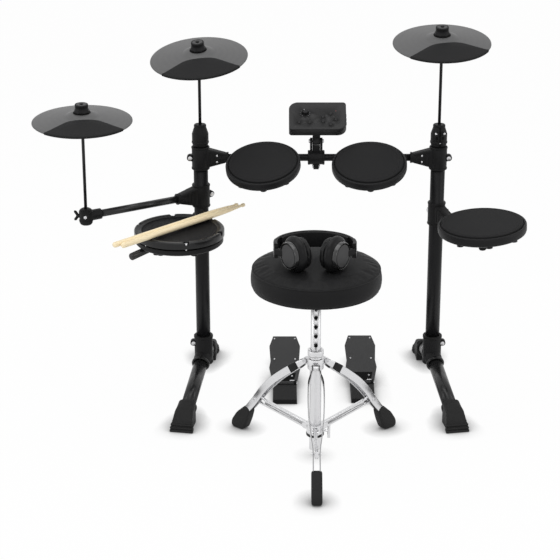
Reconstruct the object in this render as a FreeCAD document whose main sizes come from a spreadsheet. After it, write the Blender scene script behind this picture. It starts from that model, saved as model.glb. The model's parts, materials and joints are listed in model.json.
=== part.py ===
import FreeCAD, Part
import math
import os

import Sketcher
from FreeCAD import Placement, Rotation, Vector

# Driving sizes, in millimetres and degrees
SIZES = {
    # where the middle of the rack stands in the part's own frame
    "datum_x": 101.09,
    "datum_y": 202.181,
    # fits
    "running_gap": 0.08,
    "seat_gap": 0.1,
    "side_gap": 0.4,
    # rack tubes
    "post_diameter": 38.0,
    "post_wall": 1.6,
    "post_spacing": 627.0,
    "post_foot": 92.0,
    "bar_diameter": 19.0,
    "bar_wall": 1.5,
    "bar_height": 672.0,
    "bar_inset": 27.0,
    "arm_diameter": 19.0,
    "arm_wall": 1.6,
    "arm_inset": 27.0,
    # clamps on the posts
    "clamp_diameter": 46.0,
    "clamp_height": 62.0,
    "clamp_reach": 74.0,
    "web_root": 10.0,
    "web_width": 31.0,
    "web_height": 55.0,
    "web_round": 5.0,
    "mouth_wall": 4.5,
    "mouth_length": 24.0,
    "ear_length": 13.0,
    "ear_height": 40.0,
    "ear_thickness": 14.0,
    "lug_diameter": 17.0,
    "bolt_diameter": 6.0,
    "bolt_head": 11.0,
    "bolt_head_height": 4.0,
    "hihat_clamp_drop": 104.0,
    "snare_clamp_drop": 187.5,
    "floor_tom_clamp_drop": 154.0,
    # sockets on top of the posts
    "socket_gap": 1.0,
    "post_end_gap": 2.0,
    "socket_diameter": 43.5,
    "socket_neck": 29.0,
    "socket_height": 59.0,
    "socket_depth": 34.0,
    "socket_skirt": 1.4,
    # feet of the rack
    "foot_clamp_low": 84.0,
    "foot_clamp_height": 82.0,
    "foot_clamp_diameter": 50.0,
    "leg_diameter": 38.0,
    "leg_wall": 1.6,
    "leg_apex": 108.0,
    "leg_slope": 19.0,
    "leg_splay": 10.5,
    "rear_leg_splay": 0.4,
    "leg_start": 30.0,
    "leg_end": 238.0,
    "leg_socket_reach": 42.0,
    "leg_socket_wall": 4.0,
    "boot_inner": 204.0,
    "boot_length": 70.0,
    "boot_inner_width": 48.0,
    "boot_inner_height": 64.0,
    "boot_outer_width": 62.0,
    "boot_outer_height": 30.0,
    "boot_round": 6.0,
    "boot_lip_width": 70.0,
    "boot_lip_length": 16.0,
    "boot_lip_height": 8.0,
    # cymbals and their rods
    "rod_diameter": 8.0,
    "rod_insert": 49.5,
    "cymbal_diameter": 254.0,
    "shell_thickness": 4.0,
    "bell_diameter": 80.0,
    "bell_height": 8.0,
    "bow_drop": 14.0,
    "cap_base": 42.0,
    "cap_waist": 33.0,
    "cap_top": 34.0,
    "cap_height": 22.0,
    "strike_inner": 100.0,
    "strike_sweep": 110.0,
    "strike_thickness": 2.6,
    "strike_lip": 1.8,
    "strike_lip_depth": 4.0,
    "tilter_height": 20.0,
    "tilter_eye": 14.0,
    "tilter_eye_width": 9.0,
    "tilter_cheek": 4.0,
    "tilter_pin": 5.0,
    "tilter_flange": 30.0,
    "hihat_reach": 337.0,
    "hihat_bearing": 211.0,
    "hihat_height": 820.0,
    "hihat_tilt": 3.0,
    "hihat_roll": 0.0,
    "hihat_rod_below": 22.0,
    "crash_height": 940.0,
    "crash_tilt": 11.0,
    "crash_roll": -4.0,
    "ride_height": 979.0,
    "ride_tilt": 9.0,
    "ride_roll": -1.0,
    "rod_clamp_diameter": 34.0,
    "rod_clamp_height": 32.0,
    # snare
    "snare_bearing": 236.0,
    "snare_arm_length": 300.0,
    "snare_reach": 180.0,
    "snare_offset": 62.0,
    "snare_rise": 18.0,
    "snare_diameter": 232.0,
    "snare_shell_diameter": 226.0,
    "snare_head_diameter": 205.0,
    "snare_view_diameter": 195.0,
    "snare_ring_height": 14.0,
    "snare_edge_height": 30.0,
    "snare_edge_width": 5.0,
    "snare_head_thickness": 1.8,
    "hoop_low": 18.5,
    "hoop_top": 37.0,
    "hoop_bevel": 3.6,
    "lug_circle": 217.0,
    "lug_first": 46.0,
    "lug_pocket": 15.0,
    "lug_pocket_floor": 28.5,
    "lug_pocket_shift": 2.0,
    # rubber pads
    "tom_diameter": 195.0,
    "floor_tom_diameter": 227.0,
    "pad_floor": 3.0,
    "pad_rim_height": 23.5,
    "pad_ledge": 17.0,
    "pad_height": 28.5,
    "boss_diameter": 18.0,
    "boss_depth": 6.0,
    "boss_inset": 17.0,
    "sensor_diameter": 27.0,
    "tom_hang": 80.0,
    "tom_rise": 16.5,
    "tom_tilt": 18.0,
    "left_tom_x": -146.5,
    "left_tom_roll": -5.0,
    "right_tom_x": 128.5,
    "right_tom_roll": -2.5,
    "block_length": 46.0,
    "block_width": 36.0,
    "block_below": 17.0,
    "floor_tom_bearing": -63.2,
    "floor_tom_arm_length": 264.0,
    "floor_tom_reach": 226.0,
    "floor_tom_rise": 17.0,
    "floor_tom_tilt": 4.0,
    # sound module
    "module_x": -8.5,
    "module_width": 150.0,
    "module_length": 97.0,
    "module_thickness": 24.0,
    "module_big_corner": 24.0,
    "module_small_corner": 8.0,
    "module_edge": 2.5,
    "module_wall": 3.0,
    "module_tilt": 31.0,
    "module_shift": 3.0,
    "module_forward": 35.0,
    "module_rise": 36.4,
    "hub_diameter": 37.0,
    "hub_length": 44.0,
    "hinge_rise": 45.0,
    "hinge_diameter": 18.0,
    "hinge_pin": 6.0,
    "knuckle_width": 20.0,
    "cheek_thickness": 6.0,
    "knob_diameter": 17.0,
    "knob_height": 9.0,
    "knob_stem": 6.0,
    "button_diameter": 9.6,
    "button_rise": 2.2,
    "button_flange": 12.0,
    "jack_panel_width": 103.0,
    "jack_panel_depth": 12.0,
    "jack_panel_height": 13.4,
    "jack_bore": 6.5,
    "jack_depth": 10.0,
    # foot pedals
    "left_pedal_x": -90.5,
    "left_pedal_y": -95.0,
    "right_pedal_x": 123.5,
    "right_pedal_y": -88.0,
    "pedal_plate": 5.0,
    "pedal_plate_width": 66.0,
    "pedal_plate_length": 284.0,
    "heel_width": 66.0,
    "heel_length": 92.0,
    "heel_height": 17.0,
    "pedal_hinge_y": 103.0,
    "pedal_hinge_z": 16.0,
    "pedal_pin": 6.0,
    "pedal_barrel": 13.0,
    "pedal_slope": 16.0,
    "board_length": 200.0,
    "board_start": 4.0,
    "board_thickness": 6.0,
    "board_heel_width": 69.0,
    "board_wide": 87.0,
    "board_waist": 80.0,
    "board_toe_width": 66.0,
    "skirt_depth": 11.0,
    "bumper_diameter": 30.0,
    "bumper_height": 38.0,
    "bumper_reach": 178.0,
    # throne
    "throne_x": -14.5,
    "throne_y": -405.0,
    "seat_diameter": 328.0,
    "seat_low": 460.0,
    "seat_side": 62.0,
    "seat_crown": 71.5,
    "seat_plate_diameter": 200.0,
    "seat_plate_thickness": 4.0,
    "seat_hub": 36.0,
    "seat_hub_height": 30.0,
    "seat_post_diameter": 25.4,
    "seat_post_wall": 1.8,
    "seat_post_low": 140.0,
    "seat_hole": 10.0,
    "seat_hole_pitch": 25.0,
    "seat_hole_first": 310.0,
    "tripod_tube_diameter": 29.6,
    "tripod_tube_low": 20.0,
    "tripod_tube_top": 292.0,
    "lock_ring_diameter": 40.0,
    "lock_ring_height": 15.0,
    "collar_diameter": 44.0,
    "collar_height": 28.0,
    "leg_pivot_radius": 30.0,
    "leg_pivot_height": 258.0,
    "brace_pivot_radius": 30.0,
    "brace_pivot_height": 78.0,
    "brace_leg_radius": 196.0,
    "brace_leg_height": 101.0,
    "strap_width": 19.0,
    "strap_thickness": 3.0,
    "strap_close": 8.5,
    "strap_spread": 20.0,
    "pivot_pin": 6.0,
    "brace_pin": 5.0,
    "brace_width": 18.0,
    "brace_thickness": 8.0,
    "brace_slot": 10.6,
    "brace_slot_length": 24.0,
    "brace_overhang": 11.0,
    "foot_thickness": 27.0,
    "foot_reach": 280.0,
    "foot_height": 76.0,
    # headphones
    "headphones_x": -18.5,
    "headphones_y": -466.0,
    "headphones_drop": 1.35,
    "cup_diameter": 84.0,
    "cup_inner_diameter": 58.0,
    "cup_depth": 26.0,
    "cup_spacing": 84.0,
    "cup_turn": 34.0,
    "ear_cushion_diameter": 80.0,
    "ear_cushion_hole": 40.0,
    "ear_cushion_depth": 18.0,
    "band_radius": 101.0,
    "band_thickness": 8.0,
    "band_width": 25.0,
    "band_sweep": 208.0,
    "band_centre": 38.0,
    "band_lean": 1.0,
    "yoke_diameter": 13.0,
    # drumsticks
    "stick_length": 440.0,
    "stick_diameter": 14.4,
    "stick_neck": 6.6,
    "stick_tip": 10.4,
    "stick_tip_length": 13.0,
    "stick_shoulder": 75.0,
    "stick_lead": 20.0,
    "stick_bearing": 46.8,
    "stick_gap": 15.9,
    "stick_cross": 0.3,
    "stick_forward": 8.0,
    "stick_stagger": 6.0,
}

# Places of the module's buttons on its panel, from the panel's middle
BUTTONS = {
    "button_left": (-48.0, -25.0),
    "button_middle": (-21.0, -25.0),
    "button_up": (14.0, -5.5),
    "button_down": (14.0, -22.0),
    "button_far": (34.0, 5.5),
    "button_right": (48.0, -14.5),
    "button_near": (34.0, -33.0),
}
KNOB = (-32.5, 9.0)
JACKS = (-42.0, -14.0, 14.0, 42.0)

# Stations of a throne leg's straps from its pivot (0) to the brace's pin (1), with the bow as a
# share of that length, the straps' spread from 0 to 1 and the share of their full width
LEG_LINE = (
    (-0.022, -0.002, 0.0, 0.6),
    (0.03, 0.001, 0.0, 0.66),
    (0.09, 0.008, 0.32, 0.85),
    (0.19, 0.018, 0.86, 1.0),
    (0.37, 0.036, 1.0, 1.0),
    (0.58, 0.0456, 0.88, 1.0),
    (0.79, 0.034, 0.5, 1.0),
    (0.92, 0.0144, 0.14, 1.0),
    (1.0, 0.0, 0.0, 1.0),
    (1.1, -0.015, 0.0, 1.0),
    (1.21, -0.03, 0.0, 0.9),
)
# Outline of a rubber foot, as shares of its reach from the throne's axis and of its height
FOOT_LINE = (
    (0.822, 0.983),
    (0.936, 0.605),
    (0.996, 0.263),
    (1.0, 0.079),
    (0.979, 0.0),
    (0.868, 0.0),
    (0.836, 0.079),
    (0.793, 0.447),
    (0.7636, 0.833),
)
LEG_BEARINGS = {"front": -90.0, "left": 139.0, "right": 41.0}

X_AXIS = Vector(1, 0, 0)
Y_AXIS = Vector(0, 1, 0)
Z_AXIS = Vector(0, 0, 1)

doc = FreeCAD.newDocument("DrumKit")
sheet = doc.addObject("Spreadsheet::Sheet", "Sizes")
for row, (alias, number) in enumerate(SIZES.items(), start=1):
    sheet.set(f"A{row}", alias)
    sheet.set(f"B{row}", str(number))
    sheet.setAlias(f"B{row}", alias)
doc.recompute()


class Size:
    """A number from the sheet, kept as an expression and as its present value."""

    def __init__(self, text, value):
        self.text = text
        self.value = value

    def __add__(self, other):
        other = as_size(other)
        return Size(f"({self.text} + {other.text})", self.value + other.value)

    def __sub__(self, other):
        other = as_size(other)
        return Size(f"({self.text} - {other.text})", self.value - other.value)

    def __mul__(self, other):
        other = as_size(other)
        return Size(f"({self.text} * {other.text})", self.value * other.value)

    def __truediv__(self, other):
        other = as_size(other)
        return Size(f"({self.text} / {other.text})", self.value / other.value)

    def __radd__(self, other):
        return as_size(other) + self

    def __rsub__(self, other):
        return as_size(other) - self

    def __rmul__(self, other):
        return as_size(other) * self

    def __neg__(self):
        return as_size(0) - self

    def __float__(self):
        return float(self.value)


class Cells:
    """Gives each named cell of the sheet as a Size."""

    def __getattr__(self, alias):
        return Size("Sizes." + alias, float(sheet.get(alias)))


S = Cells()


def as_size(number):
    return number if isinstance(number, Size) else Size(str(float(number)), float(number))


def bind(feature, prop, amount):
    amount = as_size(amount)
    feature.setExpression(prop, amount.text)


def vec(x, y, z):
    return Vector(float(x), float(y), float(z))


def shifted(frame, x, y, z, axis=Z_AXIS):
    """A frame moved by x, y, z, with its z turned onto the axis given."""
    return frame * Placement(vec(x, y, z), Rotation(Z_AXIS, axis))


def turned_frame(frame, axis, angle):
    return frame * Placement(Vector(), Rotation(axis, float(angle)))


# Basic solids
def cylinder(name, diameter, length, place):
    solid = doc.addObject("Part::Cylinder", name)
    bind(solid, "Radius", as_size(diameter) / 2)
    bind(solid, "Height", length)
    solid.Placement = place
    return solid


def middle_cylinder(name, diameter, length, place, axis):
    """A cylinder whose middle is at the frame's origin."""
    back = axis * (-float(length) / 2)
    return cylinder(name, diameter, length, shifted(place, back.x, back.y, back.z, axis))


def block(name, width, depth, height, place):
    """A box centred on x and y that stands on the frame's xy plane."""
    solid = doc.addObject("Part::Box", name)
    bind(solid, "Length", width)
    bind(solid, "Width", depth)
    bind(solid, "Height", height)
    solid.Placement = shifted(place, -float(width) / 2, -float(depth) / 2, 0)
    return solid


def tapered_block(name, length, near, far, place):
    """A block along x; near and far are the end's width, low z and high z."""
    solid = doc.addObject("Part::Wedge", name)
    bind(solid, "Ymin", 0)
    bind(solid, "Ymax", length)
    bind(solid, "Xmin", as_size(near[0]) / -2)
    bind(solid, "Xmax", as_size(near[0]) / 2)
    bind(solid, "Zmin", near[1])
    bind(solid, "Zmax", near[2])
    bind(solid, "X2min", as_size(far[0]) / -2)
    bind(solid, "X2max", as_size(far[0]) / 2)
    bind(solid, "Z2min", far[1])
    bind(solid, "Z2max", far[2])
    solid.Placement = turned_frame(place, Z_AXIS, -90)
    return solid


def eased(name, solid, radius, wanted):
    """Rounds those edges of a basic solid that the test picks, in the solid's own frame."""
    doc.recompute()
    shape = solid.Shape.copy()
    shape.Placement = Placement()
    round_off = doc.addObject("Part::Fillet", name)
    round_off.Base = solid
    picked = [i for i, edge in enumerate(shape.Edges, start=1) if wanted(edge)]
    round_off.Edges = [(i, float(radius), float(radius)) for i in picked]
    return round_off


def runs_lengthwise(edge):
    """True for an edge that joins a wedge's two ends."""
    first, last = edge.Vertexes[0].Point, edge.Vertexes[-1].Point
    return abs(first.y - last.y) > 1.0


def fuse(name, *solids):
    joined = doc.addObject("Part::MultiFuse", name)
    joined.Shapes = list(solids)
    joined.Refine = True
    return joined


def cut(name, base, *tools):
    tool = tools[0] if len(tools) == 1 else fuse(name + "_tools", *tools)
    left = doc.addObject("Part::Cut", name)
    left.Base = base
    left.Tool = tool
    left.Refine = True
    return left


def group(name, *solids):
    together = doc.addObject("Part::Compound", name)
    together.Links = list(solids)
    return together


def tube(name, diameter, wall, length, place, closed=0):
    """A round tube; its far end is closed by the thickness given."""
    outer = cylinder(name + "_outside", diameter, length, place)
    inner = cylinder(name + "_bore", diameter - wall * 2, length - closed, place)
    return cut(name, outer, inner)


# Solids from sketches
def sketch_outline(body, plane_role, points):
    """A closed outline of straight lines, each corner fixed by sizes of the sheet."""
    sketch = body.newObject("Sketcher::SketchObject", body.Name + "_outline")
    plane = next(item for item in body.Origin.OriginFeatures if item.Role == plane_role)
    sketch.AttachmentSupport = [(plane, "")]
    sketch.MapMode = "FlatFace"
    corners = [(as_size(across), as_size(along)) for across, along in points]
    spots = [vec(across, along, 0) for across, along in corners]
    count = len(spots)
    for i in range(count):
        sketch.addGeometry(Part.LineSegment(spots[i], spots[(i + 1) % count]), False)
    for i in range(count):
        sketch.addConstraint(Sketcher.Constraint("Coincident", i, 2, (i + 1) % count, 1))
    for i, (across, along) in enumerate(corners):
        fix_corner(sketch, i, "DistanceX", -2, across)
        fix_corner(sketch, i, "DistanceY", -1, along)
    return sketch


def fix_corner(sketch, corner, kind, axis, amount):
    if abs(amount.value) < 1e-9:
        sketch.addConstraint(Sketcher.Constraint("PointOnObject", corner, 1, axis))
        return
    index = sketch.addConstraint(Sketcher.Constraint(kind, -1, 1, corner, 1, amount.value))
    sketch.setExpression(f"Constraints[{index}]", amount.text)


def turned(name, outline, place, sweep=360):
    """A turned solid: radius and height outline spun about z, evenly to both sides of +x."""
    body = doc.addObject("PartDesign::Body", name)
    sketch = sketch_outline(body, "XZ_Plane", outline)
    turn = body.newObject("PartDesign::Revolution", name + "_turn")
    turn.Profile = sketch
    turn.ReferenceAxis = (sketch, ["V_Axis"])
    turn.Midplane = True
    bind(turn, "Angle", sweep)
    body.Placement = place
    return body


def plate(name, outline, thickness, place):
    """A flat solid: outline in xy raised by its thickness."""
    body = doc.addObject("PartDesign::Body", name)
    sketch = sketch_outline(body, "XY_Plane", outline)
    pad = body.newObject("PartDesign::Pad", name + "_pad")
    pad.Profile = sketch
    bind(pad, "Length", thickness)
    body.Placement = place
    return body


def rounded(body, name, radius, wanted):
    """Rounds those edges of a sketched body that the test picks, in the body's own frame."""
    doc.recompute()
    base = body.Tip
    picked = [f"Edge{i}" for i, edge in enumerate(base.Shape.Edges, start=1) if wanted(edge)]
    fillet = body.newObject("PartDesign::Fillet", name)
    fillet.Base = (base, picked)
    bind(fillet, "Radius", radius)


def shaped(name, shape, place):
    """A solid that no primitive or sketch feature fits."""
    feature = doc.addObject("Part::Feature", name)
    feature.Shape = shape
    feature.Placement = place
    return feature


# Frames that the model and its joints share
def datum(x=0, y=0, z=0):
    return Placement(vec(S.datum_x + x, S.datum_y + y, z), Rotation())


def post_frame(side, height):
    return datum(S.post_spacing * (side / 2), 0, height)


def arm_frame(side, height, bearing):
    """Origin on the post's axis, x along the arm."""
    return turned_frame(post_frame(side, height), Z_AXIS, bearing)


def hihat_arm():
    return arm_frame(-1, S.bar_height - S.hihat_clamp_drop, S.hihat_bearing)


def snare_arm():
    return arm_frame(-1, S.bar_height - S.snare_clamp_drop, S.snare_bearing)


def floor_tom_arm():
    return arm_frame(1, S.bar_height - S.floor_tom_clamp_drop, S.floor_tom_bearing)


def snare_frame():
    return shifted(snare_arm(), S.snare_reach, S.snare_offset, S.snare_rise)


def floor_tom_frame():
    tilted = turned_frame(floor_tom_arm(), X_AXIS, S.floor_tom_tilt)
    return shifted(tilted, S.floor_tom_reach, 0, S.floor_tom_rise)


def bar_frame(x):
    return datum(x, 0, S.bar_height)


def tom_frame(side):
    across, roll = {"left": (S.left_tom_x, S.left_tom_roll), "right": (S.right_tom_x, S.right_tom_roll)}[side]
    tilted = turned_frame(bar_frame(across), X_AXIS, S.tom_tilt)
    return turned_frame(shifted(tilted, 0, -S.tom_hang, S.tom_rise), Y_AXIS, roll)


def cymbal_pivot(name):
    """Origin at the tilter's pin, x along the pin, z upright."""
    if name == "hihat":
        foot = hihat_arm() * vec(S.hihat_reach, 0, 0)
        pivot = Placement(vec(foot.x, foot.y, S.hihat_height), Rotation())
        return turned_frame(pivot, Y_AXIS, S.hihat_roll)
    if name == "crash":
        return turned_frame(post_frame(-1, S.crash_height), Y_AXIS, S.crash_roll)
    return turned_frame(post_frame(1, S.ride_height), Y_AXIS, S.ride_roll)


def module_hinge():
    return shifted(bar_frame(S.module_x), 0, 0, S.hinge_rise)


def module_frame():
    """Origin at the middle of the case's underside, z square to its panel."""
    tilted = turned_frame(module_hinge(), X_AXIS, S.module_tilt)
    return shifted(tilted, S.module_shift, S.module_forward, S.module_rise)


def pedal_frame(side):
    if side == "left":
        return datum(S.left_pedal_x, S.left_pedal_y, 0)
    return datum(S.right_pedal_x, S.right_pedal_y, 0)


def pedal_hinge(side):
    return shifted(pedal_frame(side), 0, S.pedal_hinge_y, S.pedal_hinge_z)


def socket_low():
    """The low end of the rod sockets, just above the bar clamps."""
    return S.bar_height + S.clamp_height / 2 + S.socket_gap


def throne_frame(height=0):
    return datum(S.throne_x, S.throne_y, height)


def throne_leg_frame(which):
    return turned_frame(throne_frame(), Z_AXIS, LEG_BEARINGS[which])


def headphones_frame():
    top = S.seat_low + S.seat_crown - S.headphones_drop + S.cup_diameter / 2
    return datum(S.headphones_x, S.headphones_y, top)


# Rack
def make_posts():
    length = socket_low() + S.socket_depth - S.post_end_gap - S.post_foot
    posts = [tube(f"post_{side}", S.post_diameter, S.post_wall, length, post_frame(x, S.post_foot))
             for side, x in (("left", -1), ("right", 1))]
    return group("posts", *posts)


def make_crossbar():
    length = S.post_spacing - S.bar_inset * 2
    start = bar_frame(length / -2)
    return tube("crossbar", S.bar_diameter, S.bar_wall, length, shifted(start, 0, 0, 0, X_AXIS))


def make_bolt(name, grip, place):
    """A bolt along y with a round head and a nut of one size, its grip centred on the frame."""
    shank = middle_cylinder(name + "_shank", S.bolt_diameter, grip, place, Y_AXIS)
    half = float(grip) / 2
    head = cylinder(name + "_head", S.bolt_head, S.bolt_head_height, shifted(place, 0, half, 0, Y_AXIS))
    nut = cylinder(name + "_nut", S.bolt_head, S.bolt_head_height, shifted(place, 0, -half, 0, -Y_AXIS))
    return fuse(name, shank, head, nut)


def make_ear(name, place):
    """The clamp's pinch ear along -x, with its ring lug; gives the solids, bolt hole and bolt."""
    outward = turned_frame(place, Z_AXIS, 180)
    near = (S.ear_thickness, S.ear_height / -2, S.ear_height / 2)
    far = (S.ear_thickness, S.lug_diameter / -2.4, S.lug_diameter / 2.4)
    reach = S.clamp_diameter / 2 + S.ear_length - S.lug_diameter / 2
    web = tapered_block(name + "_ear", reach, near, far, outward)
    lug_place = shifted(outward, reach, 0, 0)
    lug = middle_cylinder(name + "_lug", S.lug_diameter, S.ear_thickness, lug_place, Y_AXIS)
    hole = middle_cylinder(name + "_hole", S.bolt_diameter + S.seat_gap * 2, S.ear_thickness * 1.2,
                           lug_place, Y_AXIS)
    bolt = make_bolt(name + "_bolt", S.ear_thickness + S.seat_gap * 2, lug_place)
    return web, lug, hole, bolt


def make_post_clamp(name, place, grip, gap):
    """A sleeve round the post with a tapered socket along x for a tube of the grip given."""
    half = S.clamp_height / 2
    sleeve = cylinder(name + "_sleeve", S.clamp_diameter, S.clamp_height, shifted(place, 0, 0, -half))
    mouth = grip + S.mouth_wall * 2
    near = (S.web_width, S.web_height / -2, S.web_height / 2)
    far = (mouth * 0.86, mouth * -0.46, mouth * 0.46)
    web_length = S.clamp_reach - S.web_root - S.mouth_length / 3
    web = tapered_block(name + "_web", web_length, near, far, shifted(place, S.web_root, 0, 0))
    web = eased(name + "_soft_web", web, S.web_round, runs_lengthwise)
    start = S.clamp_reach - S.mouth_length
    collar = cylinder(name + "_mouth", mouth, S.mouth_length, shifted(place, start, 0, 0, X_AXIS))
    ear, lug, hole, bolt = make_ear(name, place)
    bore = middle_cylinder(name + "_post_bore", S.post_diameter + gap * 2, S.clamp_height * 1.1,
                           place, Z_AXIS)
    socket = cylinder(name + "_socket", grip + S.seat_gap * 2, S.clamp_reach,
                      shifted(place, S.arm_inset - S.seat_gap, 0, 0, X_AXIS))
    body = cut(name + "_body", fuse(name + "_blank", sleeve, web, collar, ear, lug), bore, socket, hole)
    return body, bolt


def make_bar_clamps():
    solids = []
    for side, x, bearing in (("left", -1, 0), ("right", 1, 180)):
        place = arm_frame(x, S.bar_height, bearing)
        solids += make_post_clamp(f"bar_clamp_{side}", place, S.bar_diameter, S.seat_gap)
    return group("bar_clamps", *solids, make_module_clamp())


def make_rod_sockets():
    bore = S.post_diameter / 2 + S.seat_gap
    hole = S.rod_diameter / 2 + S.running_gap
    wide = S.socket_diameter / 2
    neck = S.socket_neck / 2
    outline = [
        (bore, 0),
        (bore + S.socket_skirt, 0),
        (bore + S.socket_skirt, S.socket_height * 0.08),
        (wide, S.socket_height * 0.15),
        (wide, S.socket_height * 0.58),
        (wide - 2, S.socket_height * 0.68),
        (neck, S.socket_height * 0.95),
        (neck - 1, S.socket_height),
        (hole, S.socket_height),
        (hole, S.socket_depth),
        (bore, S.socket_depth),
    ]
    sockets = [turned(f"rod_socket_{side}", outline, post_frame(x, socket_low()))
               for side, x in (("left", -1), ("right", 1))]
    return group("rod_sockets", *sockets)


def leg_bearing(side, end):
    if end == "front":
        return S.leg_splay * side - 90
    return S.rear_leg_splay * side + 90


def leg_frame(side, end):
    """Origin on the post's axis at the legs' meeting height, x along the leg, down to the floor."""
    level = arm_frame(side, S.leg_apex, leg_bearing(side, end))
    return turned_frame(level, Y_AXIS, S.leg_slope)


def make_foot_clamps():
    solids = []
    for name, side in (("left", -1), ("right", 1)):
        place = post_frame(side, S.foot_clamp_low)
        sleeve = cylinder(f"foot_sleeve_{name}", S.foot_clamp_diameter, S.foot_clamp_height, place)
        bore = cylinder(f"foot_bore_{name}", S.post_diameter + S.seat_gap * 2, S.foot_clamp_height,
                        post_frame(side, S.post_foot - S.seat_gap))
        parts = [sleeve]
        holes = [bore]
        for end in ("front", "rear"):
            leg = leg_frame(side, end)
            parts.append(cylinder(f"leg_socket_{name}_{end}", S.leg_diameter + S.leg_socket_wall * 2,
                                  S.leg_socket_reach, shifted(leg, 0, 0, 0, X_AXIS)))
            holes.append(cylinder(f"leg_hole_{name}_{end}", S.leg_diameter + S.seat_gap * 2,
                                  S.leg_socket_reach, shifted(leg, S.leg_start - S.seat_gap, 0, 0, X_AXIS)))
        upper = S.foot_clamp_low + S.foot_clamp_height * 0.72
        ear_place = turned_frame(post_frame(side, upper), Z_AXIS, 90 + 90 * side)
        ear, lug, hole, bolt = make_ear(f"foot_clamp_{name}", ear_place)
        blank = fuse(f"foot_blank_{name}", *parts, ear, lug)
        solids += [cut(f"foot_clamp_{name}", blank, *holes, hole), bolt]
    return group("foot_clamps", *solids)


def make_leg_tubes():
    length = S.leg_end - S.leg_start
    tubes = []
    for name, side in (("left", -1), ("right", 1)):
        for end in ("front", "rear"):
            place = shifted(leg_frame(side, end), S.leg_start, 0, 0, X_AXIS)
            tubes.append(tube(f"leg_tube_{name}_{end}", S.leg_diameter, S.leg_wall, length, place))
    return group("leg_tubes", *tubes)


def make_boot(name, side, end):
    place = shifted(arm_frame(side, 0, leg_bearing(side, end)), S.boot_inner, 0, 0)
    near = (S.boot_inner_width, 0, S.boot_inner_height)
    far = (S.boot_outer_width, 0, S.boot_outer_height)
    body = tapered_block(name + "_wedge", S.boot_length, near, far, place)
    body = eased(name + "_soft", body, S.boot_round,
                 lambda edge: runs_lengthwise(edge) and edge.BoundBox.ZMin > 1)
    lip_x = S.boot_length - S.boot_lip_length * 0.6
    low_lip = block(name + "_low_lip", S.boot_lip_length, S.boot_lip_width, S.boot_lip_height,
                    shifted(place, lip_x + S.boot_lip_length / 2, 0, 0))
    high_lip = block(name + "_high_lip", S.boot_lip_length, S.boot_outer_width, S.boot_lip_height * 0.7,
                     shifted(place, lip_x + S.boot_lip_length * 0.4, 0, S.boot_lip_height * 1.6))
    length = S.leg_end - S.boot_inner * 0.8
    bore = cylinder(name + "_bore", S.leg_diameter + S.seat_gap * 2, length + S.seat_gap,
                    shifted(leg_frame(side, end), S.boot_inner * 0.8, 0, 0, X_AXIS))
    return cut(name, fuse(name + "_blank", body, low_lip, high_lip), bore)


def make_leg_boots():
    boots = [make_boot(f"boot_{name}_{end}", side, end)
             for name, side in (("left", -1), ("right", 1)) for end in ("front", "rear")]
    return group("leg_boots", *boots)


# Arms
def make_arm(name, place, length, closed):
    clamp, bolt = make_post_clamp(name + "_clamp", place, S.arm_diameter, S.running_gap)
    start = shifted(place, S.arm_inset, 0, 0, X_AXIS)
    rod = tube(name + "_tube", S.arm_diameter, S.arm_wall, length - S.arm_inset, start, closed)
    return group(name + "_clamp_set", clamp, bolt), rod


def make_rod_clamp():
    """The hi-hat rod's clamp on the end of its arm."""
    place = shifted(hihat_arm(), S.hihat_reach, 0, 0)
    half = S.rod_clamp_height / 2
    barrel = cylinder("rod_clamp_barrel", S.rod_clamp_diameter, S.rod_clamp_height,
                      shifted(place, 0, 0, -half))
    neck_length = S.rod_clamp_diameter / 2 + S.mouth_length
    neck = cylinder("rod_clamp_neck", S.arm_diameter + S.mouth_wall * 2, neck_length,
                    shifted(place, 0, 0, 0, -X_AXIS))
    rod_hole = middle_cylinder("rod_clamp_hole", S.rod_diameter + S.running_gap * 2,
                               S.rod_clamp_height * 1.2, place, Z_AXIS)
    seat = S.rod_clamp_diameter / 2 - S.mouth_wall * 0.5
    arm_hole = cylinder("rod_clamp_arm_hole", S.arm_diameter + S.seat_gap * 2, neck_length,
                        shifted(place, -seat, 0, 0, -X_AXIS))
    return cut("hihat_rod_clamp", fuse("rod_clamp_blank", barrel, neck), rod_hole, arm_hole)


# Cymbals
def make_rod(name, length):
    pivot = cymbal_pivot(name)
    upright = Placement(pivot.Base, Rotation())
    rod = cylinder(name + "_shaft", S.rod_diameter, length, shifted(upright, 0, 0, -length))
    eye = middle_cylinder(name + "_eye", S.tilter_eye, S.tilter_eye_width, pivot, X_AXIS)
    hole = middle_cylinder(name + "_eye_hole", S.tilter_pin + S.running_gap * 2, S.tilter_eye_width * 1.4,
                           pivot, X_AXIS)
    return cut(name + "_rod", fuse(name + "_rod_blank", rod, eye), hole)


def make_tilter(name, place):
    """A fork on the rod's eye that carries the cymbal's stem."""
    gap = S.tilter_eye_width / 2 + S.side_gap
    span = S.tilter_eye_width + S.side_gap * 2 + S.tilter_cheek * 2
    top = S.tilter_height - 4
    base = S.tilter_eye / 2 + 2
    cheeks = []
    for mark, sign in (("left", -1), ("right", 1)):
        middle = (gap + S.tilter_cheek / 2) * sign
        low = S.tilter_eye / 2 + 1
        cheeks.append(block(f"{name}_cheek_{mark}", S.tilter_cheek, S.tilter_eye, top + low,
                            shifted(place, middle, 0, -low)))
    pin = middle_cylinder(name + "_pin", S.tilter_pin, span, place, X_AXIS)
    hub = cylinder(name + "_hub", span * 1.04, top - base, shifted(place, 0, 0, base))
    flange = cylinder(name + "_flange", S.tilter_flange, S.tilter_height - top, shifted(place, 0, 0, top))
    stem_top = S.shell_thickness + S.cap_height + 2
    stem = cylinder(name + "_stem", S.rod_diameter, S.tilter_height - base + stem_top,
                    shifted(place, 0, 0, base))
    return fuse(name + "_tilter", *cheeks, pin, hub, flange, stem)


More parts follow.
